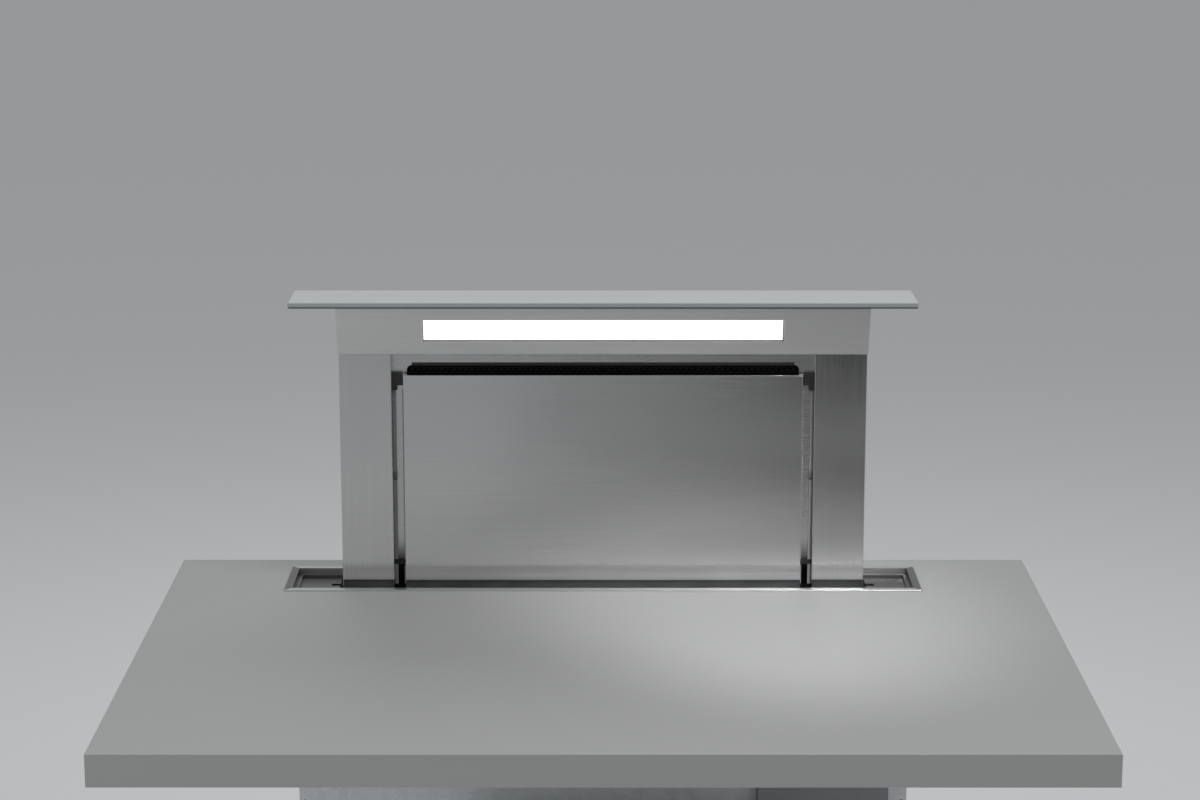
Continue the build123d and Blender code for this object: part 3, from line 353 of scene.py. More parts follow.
steel = (0.63, 0.63, 0.63)
foot_wear = ((-0.0005, 0.0020), (0.006, 0.030), 0.38)
steel_along = stainless("steel_brushed_along", steel, (8, 620, 620), rough=0.18, depth=0.000003,
                        worn=foot_wear)
steel_front = stainless("steel_front", shade(steel, 1.12), (8, 620, 620), rough=0.50, depth=0.000003)
steel_up = stainless("steel_brushed_up", steel, (620, 620, 8), rough=0.18, depth=0.000003,
                     worn=foot_wear)
trim_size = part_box("trim_frame")[1]
# The trim's recess is painted dark grey and its short legs darker: painted shade.
steel_trim = stainless("steel_trim", (0.48, 0.48, 0.48), (8, 1500, 1500), rough=0.30, depth=0.000003,
                       recess=((0.13, 0.13, 0.13), -0.0105, 0.001), legs=(trim_size[0] - trim_size[1], 0.25))
# The filter frame turns near-black towards its foot: painted shade at the bottom of the slots.
steel_frame = stainless("steel_frame", shade(steel, 0.90), (8, 620, 620), rough=0.28, depth=0.000003,
                        recess=((0.015, 0.015, 0.015), 0.018, 0.062))
dress(steel_along, "suction_panel", "bottom_rail", "glass_carrier", "tower_back")
dress(steel_front, "light_fascia")
dress(steel_up, "column_left", "column_right")
dress(steel_trim, "trim_frame")
dress(steel_frame, "filter_frame")

# %% [markdown]
# ## Galvanised sheet
# The housing, the blower box and the carriage are plain galvanised sheet, which
# nobody polishes. The flowers change the tone and the roughness together, and a
# frosty noise keeps each flower from looking flat.

# %% Galvanised finish
def galvanised(name, colour):
    material, tree, shader, where = start_material(name, Metallic=1.0)
    flower = place_group(tree, zinc, where, Flowers_per_metre=95.0)
    marks = place_group(tree, handling, where, Scale=6.0)
    tone(tree, flower.outputs["Tone"], shade(colour, 0.91), shade(colour, 1.07), shader.inputs["Base Color"])
    base = spread(tree, flower.outputs["Tone"], 0.42, 0.52)
    frosted = spread(tree, flower.outputs["Frost"], -0.05, 0.05)
    smear = spread(tree, marks.outputs["Mark"], 0.0, 0.08)
    join(tree, join(tree, base, frosted), smear, target=shader.inputs["Roughness"])
    bump(tree, flower.outputs["Frost"], 0.00003, shader)
    return material


sheet = galvanised("sheet_galvanised", (0.60, 0.62, 0.63))
dress(sheet, "housing_front", "housing_rear", "housing_side_left", "housing_side_right",
      "housing_base", "guide_rail_left", "guide_rail_right", "carriage_upright_left",
      "carriage_upright_right", "carriage_crossbar", "blower_box", "blower_back_plate",
      "blower_cover", "scroll", "motor_plate", "foot_brackets", "clamp_brackets", "shoe_arms",
      "impeller_disc", "impeller_blades", "impeller_ring")

# %% [markdown]
# ## Satin glass
# The cap is glass, painted on its underside and etched on top, so it is an
# opaque, pale blue-grey with a broad soft sheen. Its ground edges look a little
# darker and greener, because there one looks into the glass. The edges are found
# by the surface's own direction: whatever doesn't face straight up. The paint
# shows as a dark line along the bottom of the edge.

# %% Cap glass
glass, tree, shader, where = start_material("glass_satin", Metallic=0.0, IOR=1.5, Coat_Weight=0.25,
                                            Coat_Roughness=0.3)
marks = place_group(tree, handling, where, Scale=7.0)
fog = place_group(tree, grain, where, Grains_per_metre=2600.0)
direction = add(tree, "ShaderNodeNewGeometry")
upward = add(tree, "ShaderNodeSeparateXYZ")
tree.links.new(direction.outputs["True Normal"], upward.inputs["Vector"])
flat = spread(tree, upward.outputs["Z"], -1.4, 1.0)
surface = add(tree, "ShaderNodeMix", data_type="RGBA")
surface.inputs[6].default_value = (0.27, 0.295, 0.30, 1)
tone(tree, fog.outputs["Cloud"], (0.345, 0.367, 0.375), (0.366, 0.389, 0.397), surface.inputs[7])
tree.links.new(flat, surface.inputs[0])
glass_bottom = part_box("glass_top")[0][2]
sink(tree, where, surface, (0.22, 0.228, 0.228), glass_bottom + 0.0008, glass_bottom + 0.0016,
     shader.inputs["Base Color"])
join(tree, spread(tree, marks.outputs["Mark"], 0.40, 0.46), spread(tree, fog.outputs["Height"], -0.02, 0.02),
     target=shader.inputs["Roughness"])
bump(tree, fog.outputs["Height"], 0.000006, shader)
dress(glass, "glass_top")

# %% [markdown]
# ## The lamp
# The window's diffuser is opal plastic, lit from behind and white all over. The
# board behind it is a white circuit board that glows less, and the tray round
# both is satin aluminium.

# %% Lamp finishes
opal, tree, shader, where = start_material("opal_lit", Roughness=0.35, Emission_Strength=1.0)
milk = place_group(tree, grain, where, Grains_per_metre=60.0)
tone(tree, milk.outputs["Cloud"], (0.90, 0.91, 0.93), (0.94, 0.95, 0.97), shader.inputs["Base Color"])
tone(tree, milk.outputs["Cloud"], (0.98, 0.99, 1.0), (1.0, 1.0, 1.0), shader.inputs["Emission Color"])
dress(opal, "light_diffuser")

board, tree, shader, where = start_material("circuit_board", Roughness=0.5, Emission_Strength=0.5)
lacquer = place_group(tree, grain, where, Grains_per_metre=300.0)
tone(tree, lacquer.outputs["Height"], (0.78, 0.80, 0.78), (0.88, 0.89, 0.87), shader.inputs["Base Color"])
tone(tree, lacquer.outputs["Height"], (0.85, 0.88, 0.90), (1.0, 1.0, 1.0), shader.inputs["Emission Color"])
dress(board, "led_board")

tray = stainless("aluminium_tray", (0.70, 0.70, 0.70), (8, 400, 400), rough=0.38)
dress(tray, "light_frame")

# %% [markdown]
# ## Painted, moulded and rubber parts
# These differ in colour, gloss and grain only, so one function makes them all
# and each call names what it is for.

# %% Plain finishes with grain
patchy = 0.12


def coated(name, colour, rough, grains=1400.0, depth=0.00004, metallic=0.0):
    material, tree, shader, where = start_material(name, Metallic=metallic)
    skin = place_group(tree, grain, where, Grains_per_metre=grains)
    marks = place_group(tree, handling, where, Scale=22.0)
    tone(tree, skin.outputs["Cloud"], shade(colour, 1 - patchy), shade(colour, 1 + patchy),
         shader.inputs["Base Color"])
    base = spread(tree, skin.outputs["Height"], rough - 0.05, rough + 0.05)
    smear = spread(tree, marks.outputs["Mark"], 0.0, 0.10)
    join(tree, base, smear, target=shader.inputs["Roughness"])
    bump(tree, skin.outputs["Height"], depth, shader)
    return material


rubber_black = coated("rubber_black", (0.025, 0.025, 0.026), 0.72)
dress(rubber_black, "glass_seal", "travel_bumpers")
# Near-black coat for the hooks, dark enough to also paint the shade in the slots' top corners.
powder_black_and_shade = coated("powder_black_and_shade", (0.012, 0.012, 0.013), 0.62, 2200.0)
# Grey for the strips that paint the shade in the slots beside the panel.
slot_shade_grey = coated("slot_shade_grey", (0.270, 0.270, 0.274), 0.75)
spring_dark = coated("spring_dark", (0.110, 0.110, 0.112), 0.50)
dress(powder_black_and_shade, "panel_hooks")
dress(coated("slide_plastic", (0.78, 0.78, 0.74), 0.42), "guide_shoes", "shaft_bushes")
dress(coated("rack_plastic", (0.055, 0.056, 0.06), 0.45), "rack_left", "rack_right")
dress(coated("brass_cut", (0.72, 0.55, 0.27), 0.28, 900.0, 0.00001, 1.0), "drive_pinions")
zinc_bright = coated("zinc_bright", (0.66, 0.67, 0.68), 0.24, 700.0, 0.00001, 1.0)
dress(zinc_bright, "drive_shaft", "damper_pin", "clamp_screws", "blower_cover_screws",
      "control_lid_screws", "levelling_feet")
dress(coated("motor_paint", (0.11, 0.115, 0.12), 0.42, 1600.0), "lift_gear_motor", "fan_motor")
black_plastic = coated("black_plastic", (0.035, 0.036, 0.04), 0.44)
dress(black_plastic, "duct_collar", "damper_flap_front", "damper_flap_rear", "cable_gland", "inlet_ring")
dress(coated("box_plastic", (0.20, 0.21, 0.22), 0.46), "control_box", "control_box_lid")

# %% [markdown]
# ## Grease filters
# A grease filter is layers of expanded mesh in a folded rim, near-black here as painted shade.
# Diagonal waves crossed with their mirror image give the diamonds, as height and
# as tone.

# %% Filter finish
mesh, tree, shader, where = start_material("expanded_mesh", Metallic=1.0)
diamonds = None
for turn in (1, -1):
    slant = add(tree, "ShaderNodeMapping")
    slant.inputs["Rotation"].default_value = (0, math.radians(32 * turn), 0)
    wave = add(tree, "ShaderNodeTexWave", bands_direction="X")
    wave.inputs["Scale"].default_value = 45.0
    tree.links.new(where, slant.inputs["Vector"])
    tree.links.new(slant.outputs["Vector"], wave.inputs["Vector"])
    bands = wave.outputs["Fac"]
    diamonds = bands if diamonds is None else join(tree, diamonds, bands, "MAXIMUM")
# Near-black colour: painted shade of the filters in the dark behind the mouth.
tone(tree, diamonds, (0.002, 0.002, 0.002), (0.014, 0.014, 0.015), shader.inputs["Base Color"])
spread(tree, diamonds, 0.7, 0.45, shader.inputs["Roughness"])
bump(tree, diamonds, 0.0008, shader)
dress(mesh, "grease_filter_left", "grease_filter_right")

# %% [markdown]
# ## Small parts
# The solids carry every part that has a form of its own. What is left is
# fastening, thread and thin trim: rivets along the seams, screws, helical ridges,
# seals, strips and tabs. A fastener is made once with bmesh operators and repeated
# at places worked out from the solids' boxes, so it moves with them.

# %% Helpers that make a mesh and repeat it
BEVEL = {"offset_type": "OFFSET", "profile": 0.5, "affect": "EDGES", "material": -1}


def finish_mesh(name, shape, material, body=None):
    """Turns a bmesh into an object at the origin that rides on a body."""
    data = bpy.data.meshes.new(name)
    shape.to_mesh(data)
    shape.free()
    data.materials.append(material)
    piece = bpy.data.objects.new(name, data)
    bpy.context.scene.collection.objects.link(piece)
    if body:
        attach(piece, body)
    print("piece:", name, "with", len(data.polygons), "faces")
    return piece


def repeat(master, places):
    """Copies of one small shape, each at the matrix of its place."""
    pattern = bpy.data.meshes.new("pattern")
    master.to_mesh(pattern)
    master.free()
    shape = bmesh.new()
    for place in places:
        already = len(shape.verts)
        shape.from_mesh(pattern)
        shape.verts.ensure_lookup_table()
        bmesh.ops.transform(shape, matrix=place, verts=shape.verts[already:])
    bpy.data.meshes.remove(pattern)
    return shape


def facing(place, way):
    """A place whose own z axis points the way given."""
    return Matrix.Translation(place) @ Vector(way).to_track_quat("Z", "Y").to_matrix().to_4x4()


def steps(low, high, count):
    return [low + (high - low) * index / (count - 1) for index in range(count)]


def rim_edges(shape, level):
    return [edge for edge in shape.edges if all(abs(vert.co.z - level) < 1e-7 for vert in edge.verts)]

# %% [markdown]
# A rivet head is a flat cone with a rounded rim and the small pit that the
# mandrel leaves. A screw head is the same start with a star-shaped pit: every
# second pair of the pit's points is drawn inwards before it is pushed down.

# %% Masters for the fasteners
def rivet_head(radius=0.0033, height=0.0012):
    shape = bmesh.new()
    bmesh.ops.create_cone(shape, cap_ends=True, segments=14, radius1=radius, radius2=radius * 0.7,
                          depth=height)
    bmesh.ops.translate(shape, vec=(0, 0, height / 2), verts=shape.verts)
    bmesh.ops.bevel(shape, geom=rim_edges(shape, height), offset=radius * 0.3, segments=3, **BEVEL)
    cap = max(shape.faces, key=lambda face: face.calc_center_median().z)
    bmesh.ops.inset_individual(shape, faces=[cap], thickness=radius * 0.12)
    bmesh.ops.inset_individual(shape, faces=[cap], thickness=radius * 0.06, depth=-height * 0.4)
    return shape


def screw_head(radius=0.0036, height=0.0018):
    shape = bmesh.new()
    bmesh.ops.create_cone(shape, cap_ends=True, segments=18, radius1=radius, radius2=radius * 0.92,
                          depth=height)
    bmesh.ops.translate(shape, vec=(0, 0, height / 2), verts=shape.verts)
    bmesh.ops.bevel(shape, geom=rim_edges(shape, height), offset=height * 0.3, segments=2, **BEVEL)
    cap = max(shape.faces, key=lambda face: face.calc_center_median().z)
    bmesh.ops.inset_individual(shape, faces=[cap], thickness=radius * 0.30)
    middle = cap.calc_center_median()
    for index, vert in enumerate(cap.verts):
        pull = (1.0, 0.74, 0.74)[index % 3]
        vert.co = middle + (vert.co - middle) * pull
    bmesh.ops.inset_individual(shape, faces=[cap], thickness=radius * 0.05, depth=-height * 0.6)
    return shape

# %% [markdown]
# The housing's walls are riveted to the flanges of its sides, and the blower box
# to the flange behind it. The rows keep clear of the duct collar.

# %% Rivets on the housing and the blower box
front_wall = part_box("housing_front")
rear_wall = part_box("housing_rear")
row_inset, above_base, below_rim = 0.0065, 0.020, 0.070
row_x = front_wall[1][0] - row_inset
places = []
for side in (-1, 1):
    for z in steps(front_wall[0][2] + above_base, front_wall[1][2] - below_rim, 9):
        places.append(facing((side * row_x, front_wall[0][1], z), (0, -1, 0)))
        places.append(facing((side * row_x, rear_wall[1][1], z), (0, 1, 0)))
finish_mesh("housing_rivets", repeat(rivet_head(), places), zinc_bright, "chassis")

box_low, box_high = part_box("blower_box")
collar_low, collar_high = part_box("duct_collar")
edge_gap, end_x, end_z, collar_gap = 0.008, 0.020, 0.018, 0.008
row_y = box_high[1] - edge_gap
places = [facing((x, row_y, box_high[2]), (0, 0, 1))
          for x in steps(box_low[0] + end_x, box_high[0] - end_x, 7)]
for z in steps(box_low[2] + end_z, box_high[2] - end_z, 7):
    places.append(facing((box_low[0], row_y, z), (-1, 0, 0)))
    if z < collar_low[2] - collar_gap:
        places.append(facing((box_high[0], row_y, z), (1, 0, 0)))
finish_mesh("blower_box_rivets", repeat(rivet_head(), places), zinc_bright, "chassis")
print("rivets on the blower box:", len(places))

# %% [markdown]
# The collar is screwed to the box at the corners of its square flange, and a
# rounded bead near its mouth stops a duct clamp from slipping off. The bead is a
# small circle spun round the collar's axis.

# %% Screws of the collar
axis_y = (collar_low[1] + collar_high[1]) / 2
axis_z = (collar_low[2] + collar_high[2]) / 2
corner_inset, flange_thick = 0.008, 0.0015
reach = (collar_high[1] - collar_low[1]) / 2 - corner_inset
flange_x = collar_low[0] + flange_thick
places = [facing((flange_x, axis_y + j * reach, axis_z + k * reach), (1, 0, 0))
          for j in (-1, 1) for k in (-1, 1)]
finish_mesh("collar_screws", repeat(screw_head(), places), zinc_bright, "chassis")

# %% The collar's bead
bead_radius, collar_radius, bead_setback = 0.0014, 0.0745, 0.009
bead_place = facing((collar_high[0] - bead_setback, axis_y, axis_z + collar_radius), (0, 1, 0))
shape = bmesh.new()
profile = bmesh.ops.create_circle(shape, segments=10, radius=bead_radius, matrix=bead_place)
bmesh.ops.spin(shape, geom=profile["verts"] + shape.edges[:], cent=(0, axis_y, axis_z), axis=(1, 0, 0),
               angle=math.tau, steps=72, use_merge=True)
bmesh.ops.remove_doubles(shape, verts=shape.verts, dist=1e-6)
bmesh.ops.recalc_face_normals(shape, faces=shape.faces)
finish_mesh("collar_bead", shape, black_plastic, "chassis")

# %% [markdown]
# The tower's back sheet is held by countersunk screws that stay almost flush,
# because the back runs close past the edge of the trim when the tower sinks.

# %% Screws on the tower's back
back_low, back_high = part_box("tower_back")
post_low, post_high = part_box("carriage_upright_right")
post_x = (post_low[0] + post_high[0]) / 2
flush_radius, flush_height = 0.0042, 0.0005
lowest, highest, top_row = back_low[2] + 0.020, back_high[2] - 0.045, back_high[2] - 0.008
places = [facing((side * post_x, back_high[1], z), (0, 1, 0))
          for side in (-1, 1) for z in steps(lowest, highest, 6)]
places += [facing((x, back_high[1], top_row), (0, 1, 0)) for x in steps(-post_x, post_x, 6)]
finish_mesh("tower_back_screws", repeat(screw_head(flush_radius, flush_height), places), zinc_bright,
            "tower")

# %% [markdown]
# A thread is a ridge that climbs as it goes round. One small triangle is spun
# about the stem's axis with a rise for each step, and its two ends are closed. A
# clamp screw is threaded below its arm and above its nut. A foot is threaded from
# its pad to the nut below its plate: the rear plates are under the housing's base
# and the front ones under the blower box.

# %% One thread
def add_thread(shape, centre, radius, low, high, pitch, per_turn=14):
    turns = max(1, round((high - low) / pitch))
    root, crest = radius - 0.0002, radius + pitch * 0.28
    corners = [shape.verts.new((centre[0] + r, centre[1], low + z))
               for r, z in ((root, -0.1 * pitch), (crest, 0.3 * pitch), (root, 0.7 * pitch))]
    ring = [shape.edges.new((corners[index], corners[(index + 1) % 3])) for index in range(3)]
    spun = bmesh.ops.spin(shape, geom=corners + ring, cent=(*centre, 0), axis=(0, 0, 1),
                          dvec=(0, 0, (high - low - 0.6 * pitch) / (turns * per_turn)),
                          angle=math.tau * turns, steps=turns * per_turn, use_merge=False)
    tip = [part for part in spun["geom_last"] if isinstance(part, bmesh.types.BMEdge)]
    bmesh.ops.contextual_create(shape, geom=ring)
    bmesh.ops.contextual_create(shape, geom=tip)

# %% Threads on the clamp screws
clamp_stem, clamp_pitch = 0.003, 0.00125
clamp_low, clamp_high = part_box("clamp_screws")
arm_low, arm_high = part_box("clamp_brackets")
clamp_pad, arm_inset = 0.009, 0.012
below_arm, above_nut, below_pad = 0.0032, 0.0051, 0.0031
clamp_x = (clamp_low[0] + clamp_pad, clamp_high[0] - clamp_pad)
clamp_y = (arm_low[1] + arm_inset, arm_high[1] - arm_inset)
arm_top = arm_high[2]
shape = bmesh.new()
for x in clamp_x:
    for y in clamp_y:
        add_thread(shape, (x, y), clamp_stem, clamp_low[2] + 0.001, arm_top - below_arm, clamp_pitch)
        add_thread(shape, (x, y), clamp_stem, arm_top + above_nut, clamp_high[2] - below_pad, clamp_pitch)
bmesh.ops.recalc_face_normals(shape, faces=shape.faces)
finish_mesh("clamp_threads", shape, zinc_bright, "chassis")

# %% Threads on the feet
foot_stem, foot_pitch, foot_inset = 0.005, 0.0015, 0.030
base_sheet, plate_thick, nut_height = 0.0015, 0.003, 0.008
rear_nut_bottom = front_wall[0][2] - base_sheet - plate_thick - nut_height
front_nut_bottom = box_low[2] - plate_thick - nut_height
feet_low, feet_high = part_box("levelling_feet")
pad_half_x, pad_half_y, pad_thick = 0.020, 0.0199, 0.008
pad_top = feet_low[2] + pad_thick
rear_foot = (feet_high[0] - pad_half_x, feet_high[1] - pad_half_y)
front_foot = (box_high[0] - foot_inset, feet_low[1] + pad_half_y)
shape = bmesh.new()
for (x, y), nut_bottom in ((rear_foot, rear_nut_bottom), (front_foot, front_nut_bottom)):
    for side in (-1, 1):
        add_thread(shape, (side * x, y), foot_stem, pad_top + 0.0003, nut_bottom, foot_pitch)
bmesh.ops.recalc_face_normals(shape, faces=shape.faces)
finish_mesh("foot_threads", shape, zinc_bright, "chassis")

# %% [markdown]
# The lamp's window has a thin black gasket round the diffuser, which draws the
# dark line round the light. It is a plate with a hole: two rectangles bridged
# and pushed up, then tilted with the front. The same maker serves the lid of the
# control box and the stage board.

# %% Plates with a hole
def holed_plate(outer, inner, thick, middle=(0, 0), inner_middle=(0, 0)):
    """A rectangular ring on z 0, its size and hole given as half lengths."""
    shape = bmesh.new()
    for (half_x, half_y), (x, y) in ((outer, middle), (inner, inner_middle)):
        grid = bmesh.ops.create_grid(shape, x_segments=1, y_segments=1, size=1.0)
        bmesh.ops.scale(shape, vec=(half_x, half_y, 1), verts=grid["verts"])
        bmesh.ops.translate(shape, vec=(x, y, 0), verts=grid["verts"])
    bmesh.ops.delete(shape, geom=shape.faces[:], context="FACES_ONLY")
    bmesh.ops.bridge_loops(shape, edges=shape.edges[:])
    raised = bmesh.ops.extrude_face_region(shape, geom=shape.faces[:])
    upper = [part for part in raised["geom"] if isinstance(part, bmesh.types.BMVert)]
    bmesh.ops.translate(shape, vec=(0, 0, thick), verts=upper)
    bmesh.ops.recalc_face_normals(shape, faces=shape.faces)
    return shape

# %% Gasket of the window
pane_low, pane_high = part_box("light_diffuser")
pane_middle = (Vector(pane_low) + Vector(pane_high)) / 2
front_depth, front_height = 0.027, 0.069
front_lean = math.atan2(front_depth, front_height)
forward = Vector((0, -math.cos(front_lean), -math.sin(front_lean)))
pane_half, pane_half_high = (pane_high[0] - pane_low[0]) / 2, 0.0175
side_lip, lower_lip, upper_lip = 0.0014, 0.0013, 0.0003
gasket_thick, gasket_ahead = 0.0008, 0.0015
hole_high = pane_half_high - (lower_lip + upper_lip) / 2
shape = holed_plate((pane_half, pane_half_high), (pane_half - side_lip, hole_high), gasket_thick,
                    inner_middle=(0, (lower_lip - upper_lip) / 2))
bmesh.ops.transform(shape, matrix=facing(pane_middle + forward * gasket_ahead, forward), verts=shape.verts)
finish_mesh("window_gasket", shape, rubber_black, "tower")

# %% [markdown]
# The control box has a foam seal between its rim and its lid, of which only a
# dark edge shows. It is the same kind of ring, with its outer corners rounded,
# turned upright behind the lid.

# %% Seal of the control box's lid
lid_low, lid_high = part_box("control_box_lid")
lid_middle = ((lid_low[0] + lid_high[0]) / 2, (lid_low[2] + lid_high[2]) / 2)
lid_half = ((lid_high[0] - lid_low[0]) / 2, (lid_high[2] - lid_low[2]) / 2)
seal_shows, seal_width, seal_thick, seal_corner, seal_back = 0.0006, 0.004, 0.0008, 0.004, 0.0004
shape = holed_plate((lid_half[0] + seal_shows, lid_half[1] + seal_shows),
                    (lid_half[0] - seal_width, lid_half[1] - seal_width), seal_thick)
corners = [edge for edge in shape.edges if abs(edge.verts[0].co.z - edge.verts[1].co.z) > 1e-6
           and abs(edge.verts[0].co.x) > lid_half[0]]
bmesh.ops.bevel(shape, geom=corners, offset=seal_corner, segments=4, **BEVEL)
bmesh.ops.rotate(shape, cent=(0, 0, 0), matrix=Matrix.Rotation(math.radians(90), 3, "X"), verts=shape.verts)
bmesh.ops.translate(shape, vec=(lid_middle[0], lid_high[1] + seal_back, lid_middle[1]), verts=shape.verts)
finish_mesh("lid_seal", shape, rubber_black, "chassis")

# %% [markdown]
# Grey strips in the slots beside the panel paint the slots' shade: one towards the
# column, and one in line with the panel's edge, which paints the thin shadow line
# beside it. They stop short of the hooks, so each is made in two lengths.

# %% Strips in the slots
column_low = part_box("column_right")[0]
sheet_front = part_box("filter_frame")[0][1]
hooks_low, hooks_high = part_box("panel_hooks")
panel_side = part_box("suction_panel")[1][0]
strip_depth = 0.0022
strips = [(column_low[0] - 0.0050, column_low[0] - 0.0002), (panel_side - 0.0010, panel_side + 0.0023)]
lengths = [(column_low[2] + 0.003, hooks_low[2] - 0.0005), (hooks_low[2] + 0.0065, hooks_high[2] - 0.025)]
shape = bmesh.new()
for side in (-1, 1):
    for low, high in lengths:
        for near, far in strips:
            cube = bmesh.ops.create_cube(shape, size=1.0)
            bmesh.ops.scale(shape, vec=(far - near, strip_depth, high - low), verts=cube["verts"])
            bmesh.ops.translate(shape, vec=(side * (near + far) / 2, sheet_front - strip_depth / 2,
                                            (low + high) / 2), verts=cube["verts"])
edges = [edge for edge in shape.edges if abs(edge.verts[0].co.z - edge.verts[1].co.z) > 0.01]
bmesh.ops.bevel(shape, geom=edges, offset=0.0008, segments=3, **BEVEL)
finish_mesh("slot_strips", shape, slot_shade_grey, "tower")

# %% [markdown]
# The mouth above the panel is a wide hole with round corners, through which the
# filters show. A black strip runs along its upper edge and paints the shade under
# the mouth's rim: a block with the four edges of its front face rounded.

# %% Shade strip of the mouth
filter_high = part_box("grease_filter_right")[1]
filter_lap, mouth_corner = 0.008, 0.007
mouth_half, mouth_top = filter_high[0] - filter_lap - mouth_corner, filter_high[2] - filter_lap
shade_strip_height, shade_strip_depth = 0.0042, 0.0016
shape = bmesh.new()
bmesh.ops.create_cube(shape, size=1.0)
bmesh.ops.scale(shape, vec=(2 * mouth_half, shade_strip_depth, shade_strip_height), verts=shape.verts)
shade_strip_y, shade_strip_z = sheet_front - shade_strip_depth / 2 + 0.0002, mouth_top - 0.0006 + shade_strip_height / 2
bmesh.ops.translate(shape, vec=(0, shade_strip_y, shade_strip_z), verts=shape.verts)
edges = [edge for edge in shape.edges if all(vert.co.y < sheet_front - 0.001 for vert in edge.verts)]
bmesh.ops.bevel(shape, geom=edges, offset=0.0010, segments=3, **BEVEL)
finish_mesh("mouth_shade_strip", shape, rubber_black, "tower")

# %% [markdown]
# Halfway up each slot a small spring tab steadies the panel. Its bent outline is
# four points joined by edges, drawn out sideways into a strip and then given the
# thickness of spring steel.

# %% Spring tabs
tab_width, tab_height, tab_z, tab_rise = 0.0046, 0.012, 0.147, 0.0028
bends = [(share * tab_height, rise)
         for share, rise in ((-0.5, 0), (-0.2, tab_rise), (0.2, tab_rise), (0.5, 0))]
shape = bmesh.new()
for side in (-1, 1):
    outline = [shape.verts.new((side * (column_low[0] - 0.0005), sheet_front - strip_depth - rise, tab_z + z))
               for z, rise in bends]
    strip = [shape.edges.new(pair) for pair in zip(outline, outline[1:])]
    drawn = bmesh.ops.extrude_edge_only(shape, edges=strip)
    moved = [part for part in drawn["geom"] if isinstance(part, bmesh.types.BMVert)]
    bmesh.ops.translate(shape, vec=(-side * tab_width, 0, 0), verts=moved)
bmesh.ops.recalc_face_normals(shape, faces=shape.faces)
bmesh.ops.solidify(shape, geom=shape.faces[:], thickness=0.0006)
bmesh.ops.recalc_face_normals(shape, faces=shape.faces)
finish_mesh("side_tabs", shape, spring_dark, "tower")

# %% [markdown]
# ## The stage
# The floor is plain and pale. A pale board stands in for the worktop, with a
# cut-out that the trim covers, so the housing hangs under it as it does in a
# kitchen. Neither is part of the vent.

# %% Floor and worktop board
floor_z = cad_box[0][2]


def stage_material(name, colour, rough):
    material, tree, shader, where = start_material(name)
    skin = place_group(tree, grain, where, Grains_per_metre=350.0)
    tone(tree, skin.outputs["Height"], shade(colour, 0.98), shade(colour, 1.02), shader.inputs["Base Color"])
    spread(tree, skin.outputs["Height"], rough - 0.04, rough + 0.04, shader.inputs["Roughness"])
    return material


floor_half, floor_back = 40.0, 4.0
shape = bmesh.new()
bmesh.ops.create_grid(shape, x_segments=1, y_segments=1, size=floor_half)
bmesh.ops.translate(shape, vec=(0, floor_back, floor_z), verts=shape.verts)
floor = finish_mesh("floor", shape, stage_material("floor_pale", (0.62, 0.625, 0.63), 0.8))

board_half, board_front, board_back, board_thick = 0.60, -0.73, 0.10, 0.040
hole_half = (0.4325, 0.0525)
board_colour = (0.30, 0.30, 0.30)
shape = holed_plate((board_half, (board_back - board_front) / 2), hole_half, -board_thick,
                    middle=(0, (board_back + board_front) / 2))
board_paint = stage_material("board_pale", board_colour, 0.5)
board_paint.node_tree.nodes["Principled BSDF"].inputs["Specular IOR Level"].default_value = 0.2
worktop = finish_mesh("worktop_board", shape, board_paint)

# %% [markdown]
# ## Light
# Brushed steel is as bright as what it mirrors. One large softbox stands to the
# right and above, a weaker one to the left and one behind, and the world gives an
# even fill.

# %% World and softboxes
world = bpy.data.worlds.new("studio")
bpy.context.scene.world = world
world.use_nodes = True
world.node_tree.nodes["Background"].inputs["Color"].default_value = (0.62, 0.63, 0.64, 1)
world.node_tree.nodes["Background"].inputs["Strength"].default_value = 0.75


def softbox(name, place, target, size, power):
    lamp = bpy.data.lights.new(name, "AREA")
    lamp.shape = "RECTANGLE"
    lamp.size, lamp.size_y = size
    lamp.energy = power
    holder = bpy.data.objects.new(name, lamp)
    bpy.context.scene.collection.objects.link(holder)
    holder.location = place
    holder.rotation_euler = (Vector(target) - Vector(place)).to_track_quat("-Z", "Y").to_euler()
    print("softbox:", name, "with", power, "watts")


softbox("key_right", (2.2, -1.6, 2.6), (0, 0, 0.1), (1.8, 1.8), 50)
softbox("fill_left", (-2.4, -2.0, 2.0), (0, 0, 0.1), (2.0, 2.0), 32)
softbox("back_top", (0, 2.2, 2.4), (0, 0, 0.2), (2.5, 1.2), 25)

# %% [markdown]
# The foot of the steel is lightest at its right, where it mirrors the worktop. A
# spot with a wide blend makes a soft pool of light on the board there.

# %% Pool of light
pool = bpy.data.lights.new("board_pool", "SPOT")
pool.energy, pool.spot_size, pool.spot_blend, pool.shadow_soft_size = 80, math.radians(25), 0.7, 0.12
pool_holder = bpy.data.objects.new("board_pool", pool)
bpy.context.scene.collection.objects.link(pool_holder)
pool_holder.location = (0.55, -1.30, 1.05)
pool_aim = Vector((0.22, -0.16, 0)) - pool_holder.location
pool_holder.rotation_euler = pool_aim.to_track_quat("-Z", "Y").to_euler()
print("lamps:", [lamp.name for lamp in bpy.data.lights])

# %% [markdown]
# The steel is light at its left and dark at its upper right. A dark card in front
# on the right, seen only by reflections, gives it that tone, as a dim room does.
# The board darkens towards the card in reflections too, so the change of tone
# down the steel is slow.

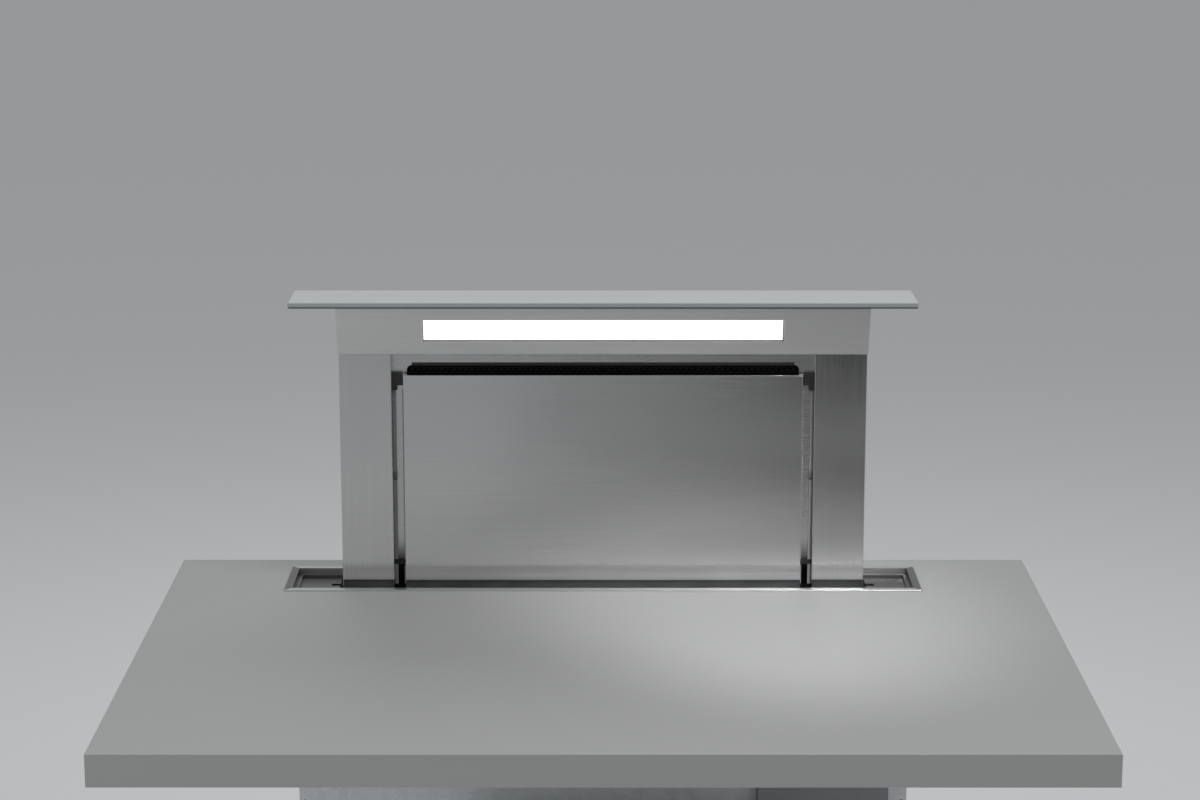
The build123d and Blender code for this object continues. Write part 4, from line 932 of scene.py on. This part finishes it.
# %% What the steel mirrors
def grow_over(tree, where, spans):
    """A mask that grows over the given spans of the object's axes."""
    across = add(tree, "ShaderNodeSeparateXYZ")
    tree.links.new(where, across.inputs["Vector"])
    grown = None
    for axis, clear, full in spans:
        mask = add(tree, "ShaderNodeMapRange")
        mask.inputs["From Min"].default_value = clear
        mask.inputs["From Max"].default_value = full
        tree.links.new(across.outputs[axis], mask.inputs["Value"])
        share = mask.outputs["Result"]
        grown = share if grown is None else join(tree, grown, share, "MULTIPLY")
    return grown


# The board's colour for glossy rays is a painted reflection, darkening towards the card.
mirror_colour, mirror_dark = (0.44, 0.44, 0.44), (0.135, 0.135, 0.135)
tree = board_paint.node_tree
shader = tree.nodes["Principled BSDF"]
plain_colour = shader.inputs["Base Color"].links[0].from_socket
mirrored = add(tree, "ShaderNodeLightPath").outputs["Is Glossy Ray"]
where = add(tree, "ShaderNodeTexCoord").outputs["Object"]
towards_card = grow_over(tree, where, (("X", -0.22, 0.34), ("Y", 0.0, -0.20)))
graded = tone(tree, towards_card, mirror_colour, mirror_dark)
choice = tone(tree, mirrored, board_colour, mirror_colour, shader.inputs["Base Color"])
tree.links.new(plain_colour, choice.inputs[6])
tree.links.new(graded.outputs[2], choice.inputs[7])

card_paper, tree, shader, where = start_material("card_paper", Roughness=0.6)
towards_corner = grow_over(tree, where, (("X", 0.0, 0.42), ("Z", -0.18, 0.0)))
tone(tree, towards_corner, (0.52, 0.52, 0.52), (0.07, 0.07, 0.07), shader.inputs["Base Color"])
card_width, card_height, card_middle = 1.87, 0.95, (0.785, -1.40, -0.08)
shape = bmesh.new()
bmesh.ops.create_grid(shape, x_segments=1, y_segments=1, size=0.5)
bmesh.ops.scale(shape, vec=(card_width, card_height, 1), verts=shape.verts)
bmesh.ops.transform(shape, matrix=facing(card_middle, (0, 1, 0)), verts=shape.verts)
card = finish_mesh("dark_card", shape, card_paper)
card.visible_camera = card.visible_shadow = card.visible_diffuse = False

# %% [markdown]
# ## Camera
# The photograph looks straight at the vent from a little above. The camera's
# place, tilt and lens come from a fit of the model's corners to the photograph.

# %% Camera
focal_pixels, photo_width, tilt_down = 2908.82, 1200, 12.561
camera_data = bpy.data.cameras.new("camera")
camera_data.sensor_width = 36.0
camera_data.lens = focal_pixels / photo_width * camera_data.sensor_width
camera = bpy.data.objects.new("camera", camera_data)
bpy.context.scene.collection.objects.link(camera)
camera.location = (-0.0032, -3.9192, 1.1303)
camera.rotation_euler = (math.radians(90 - tilt_down), 0, math.radians(0.0137))
camera_data.clip_end = 60
bpy.context.scene.camera = camera
bpy.context.scene.view_settings.view_transform = "Standard"
print("lens:", round(camera_data.lens, 2), "mm")
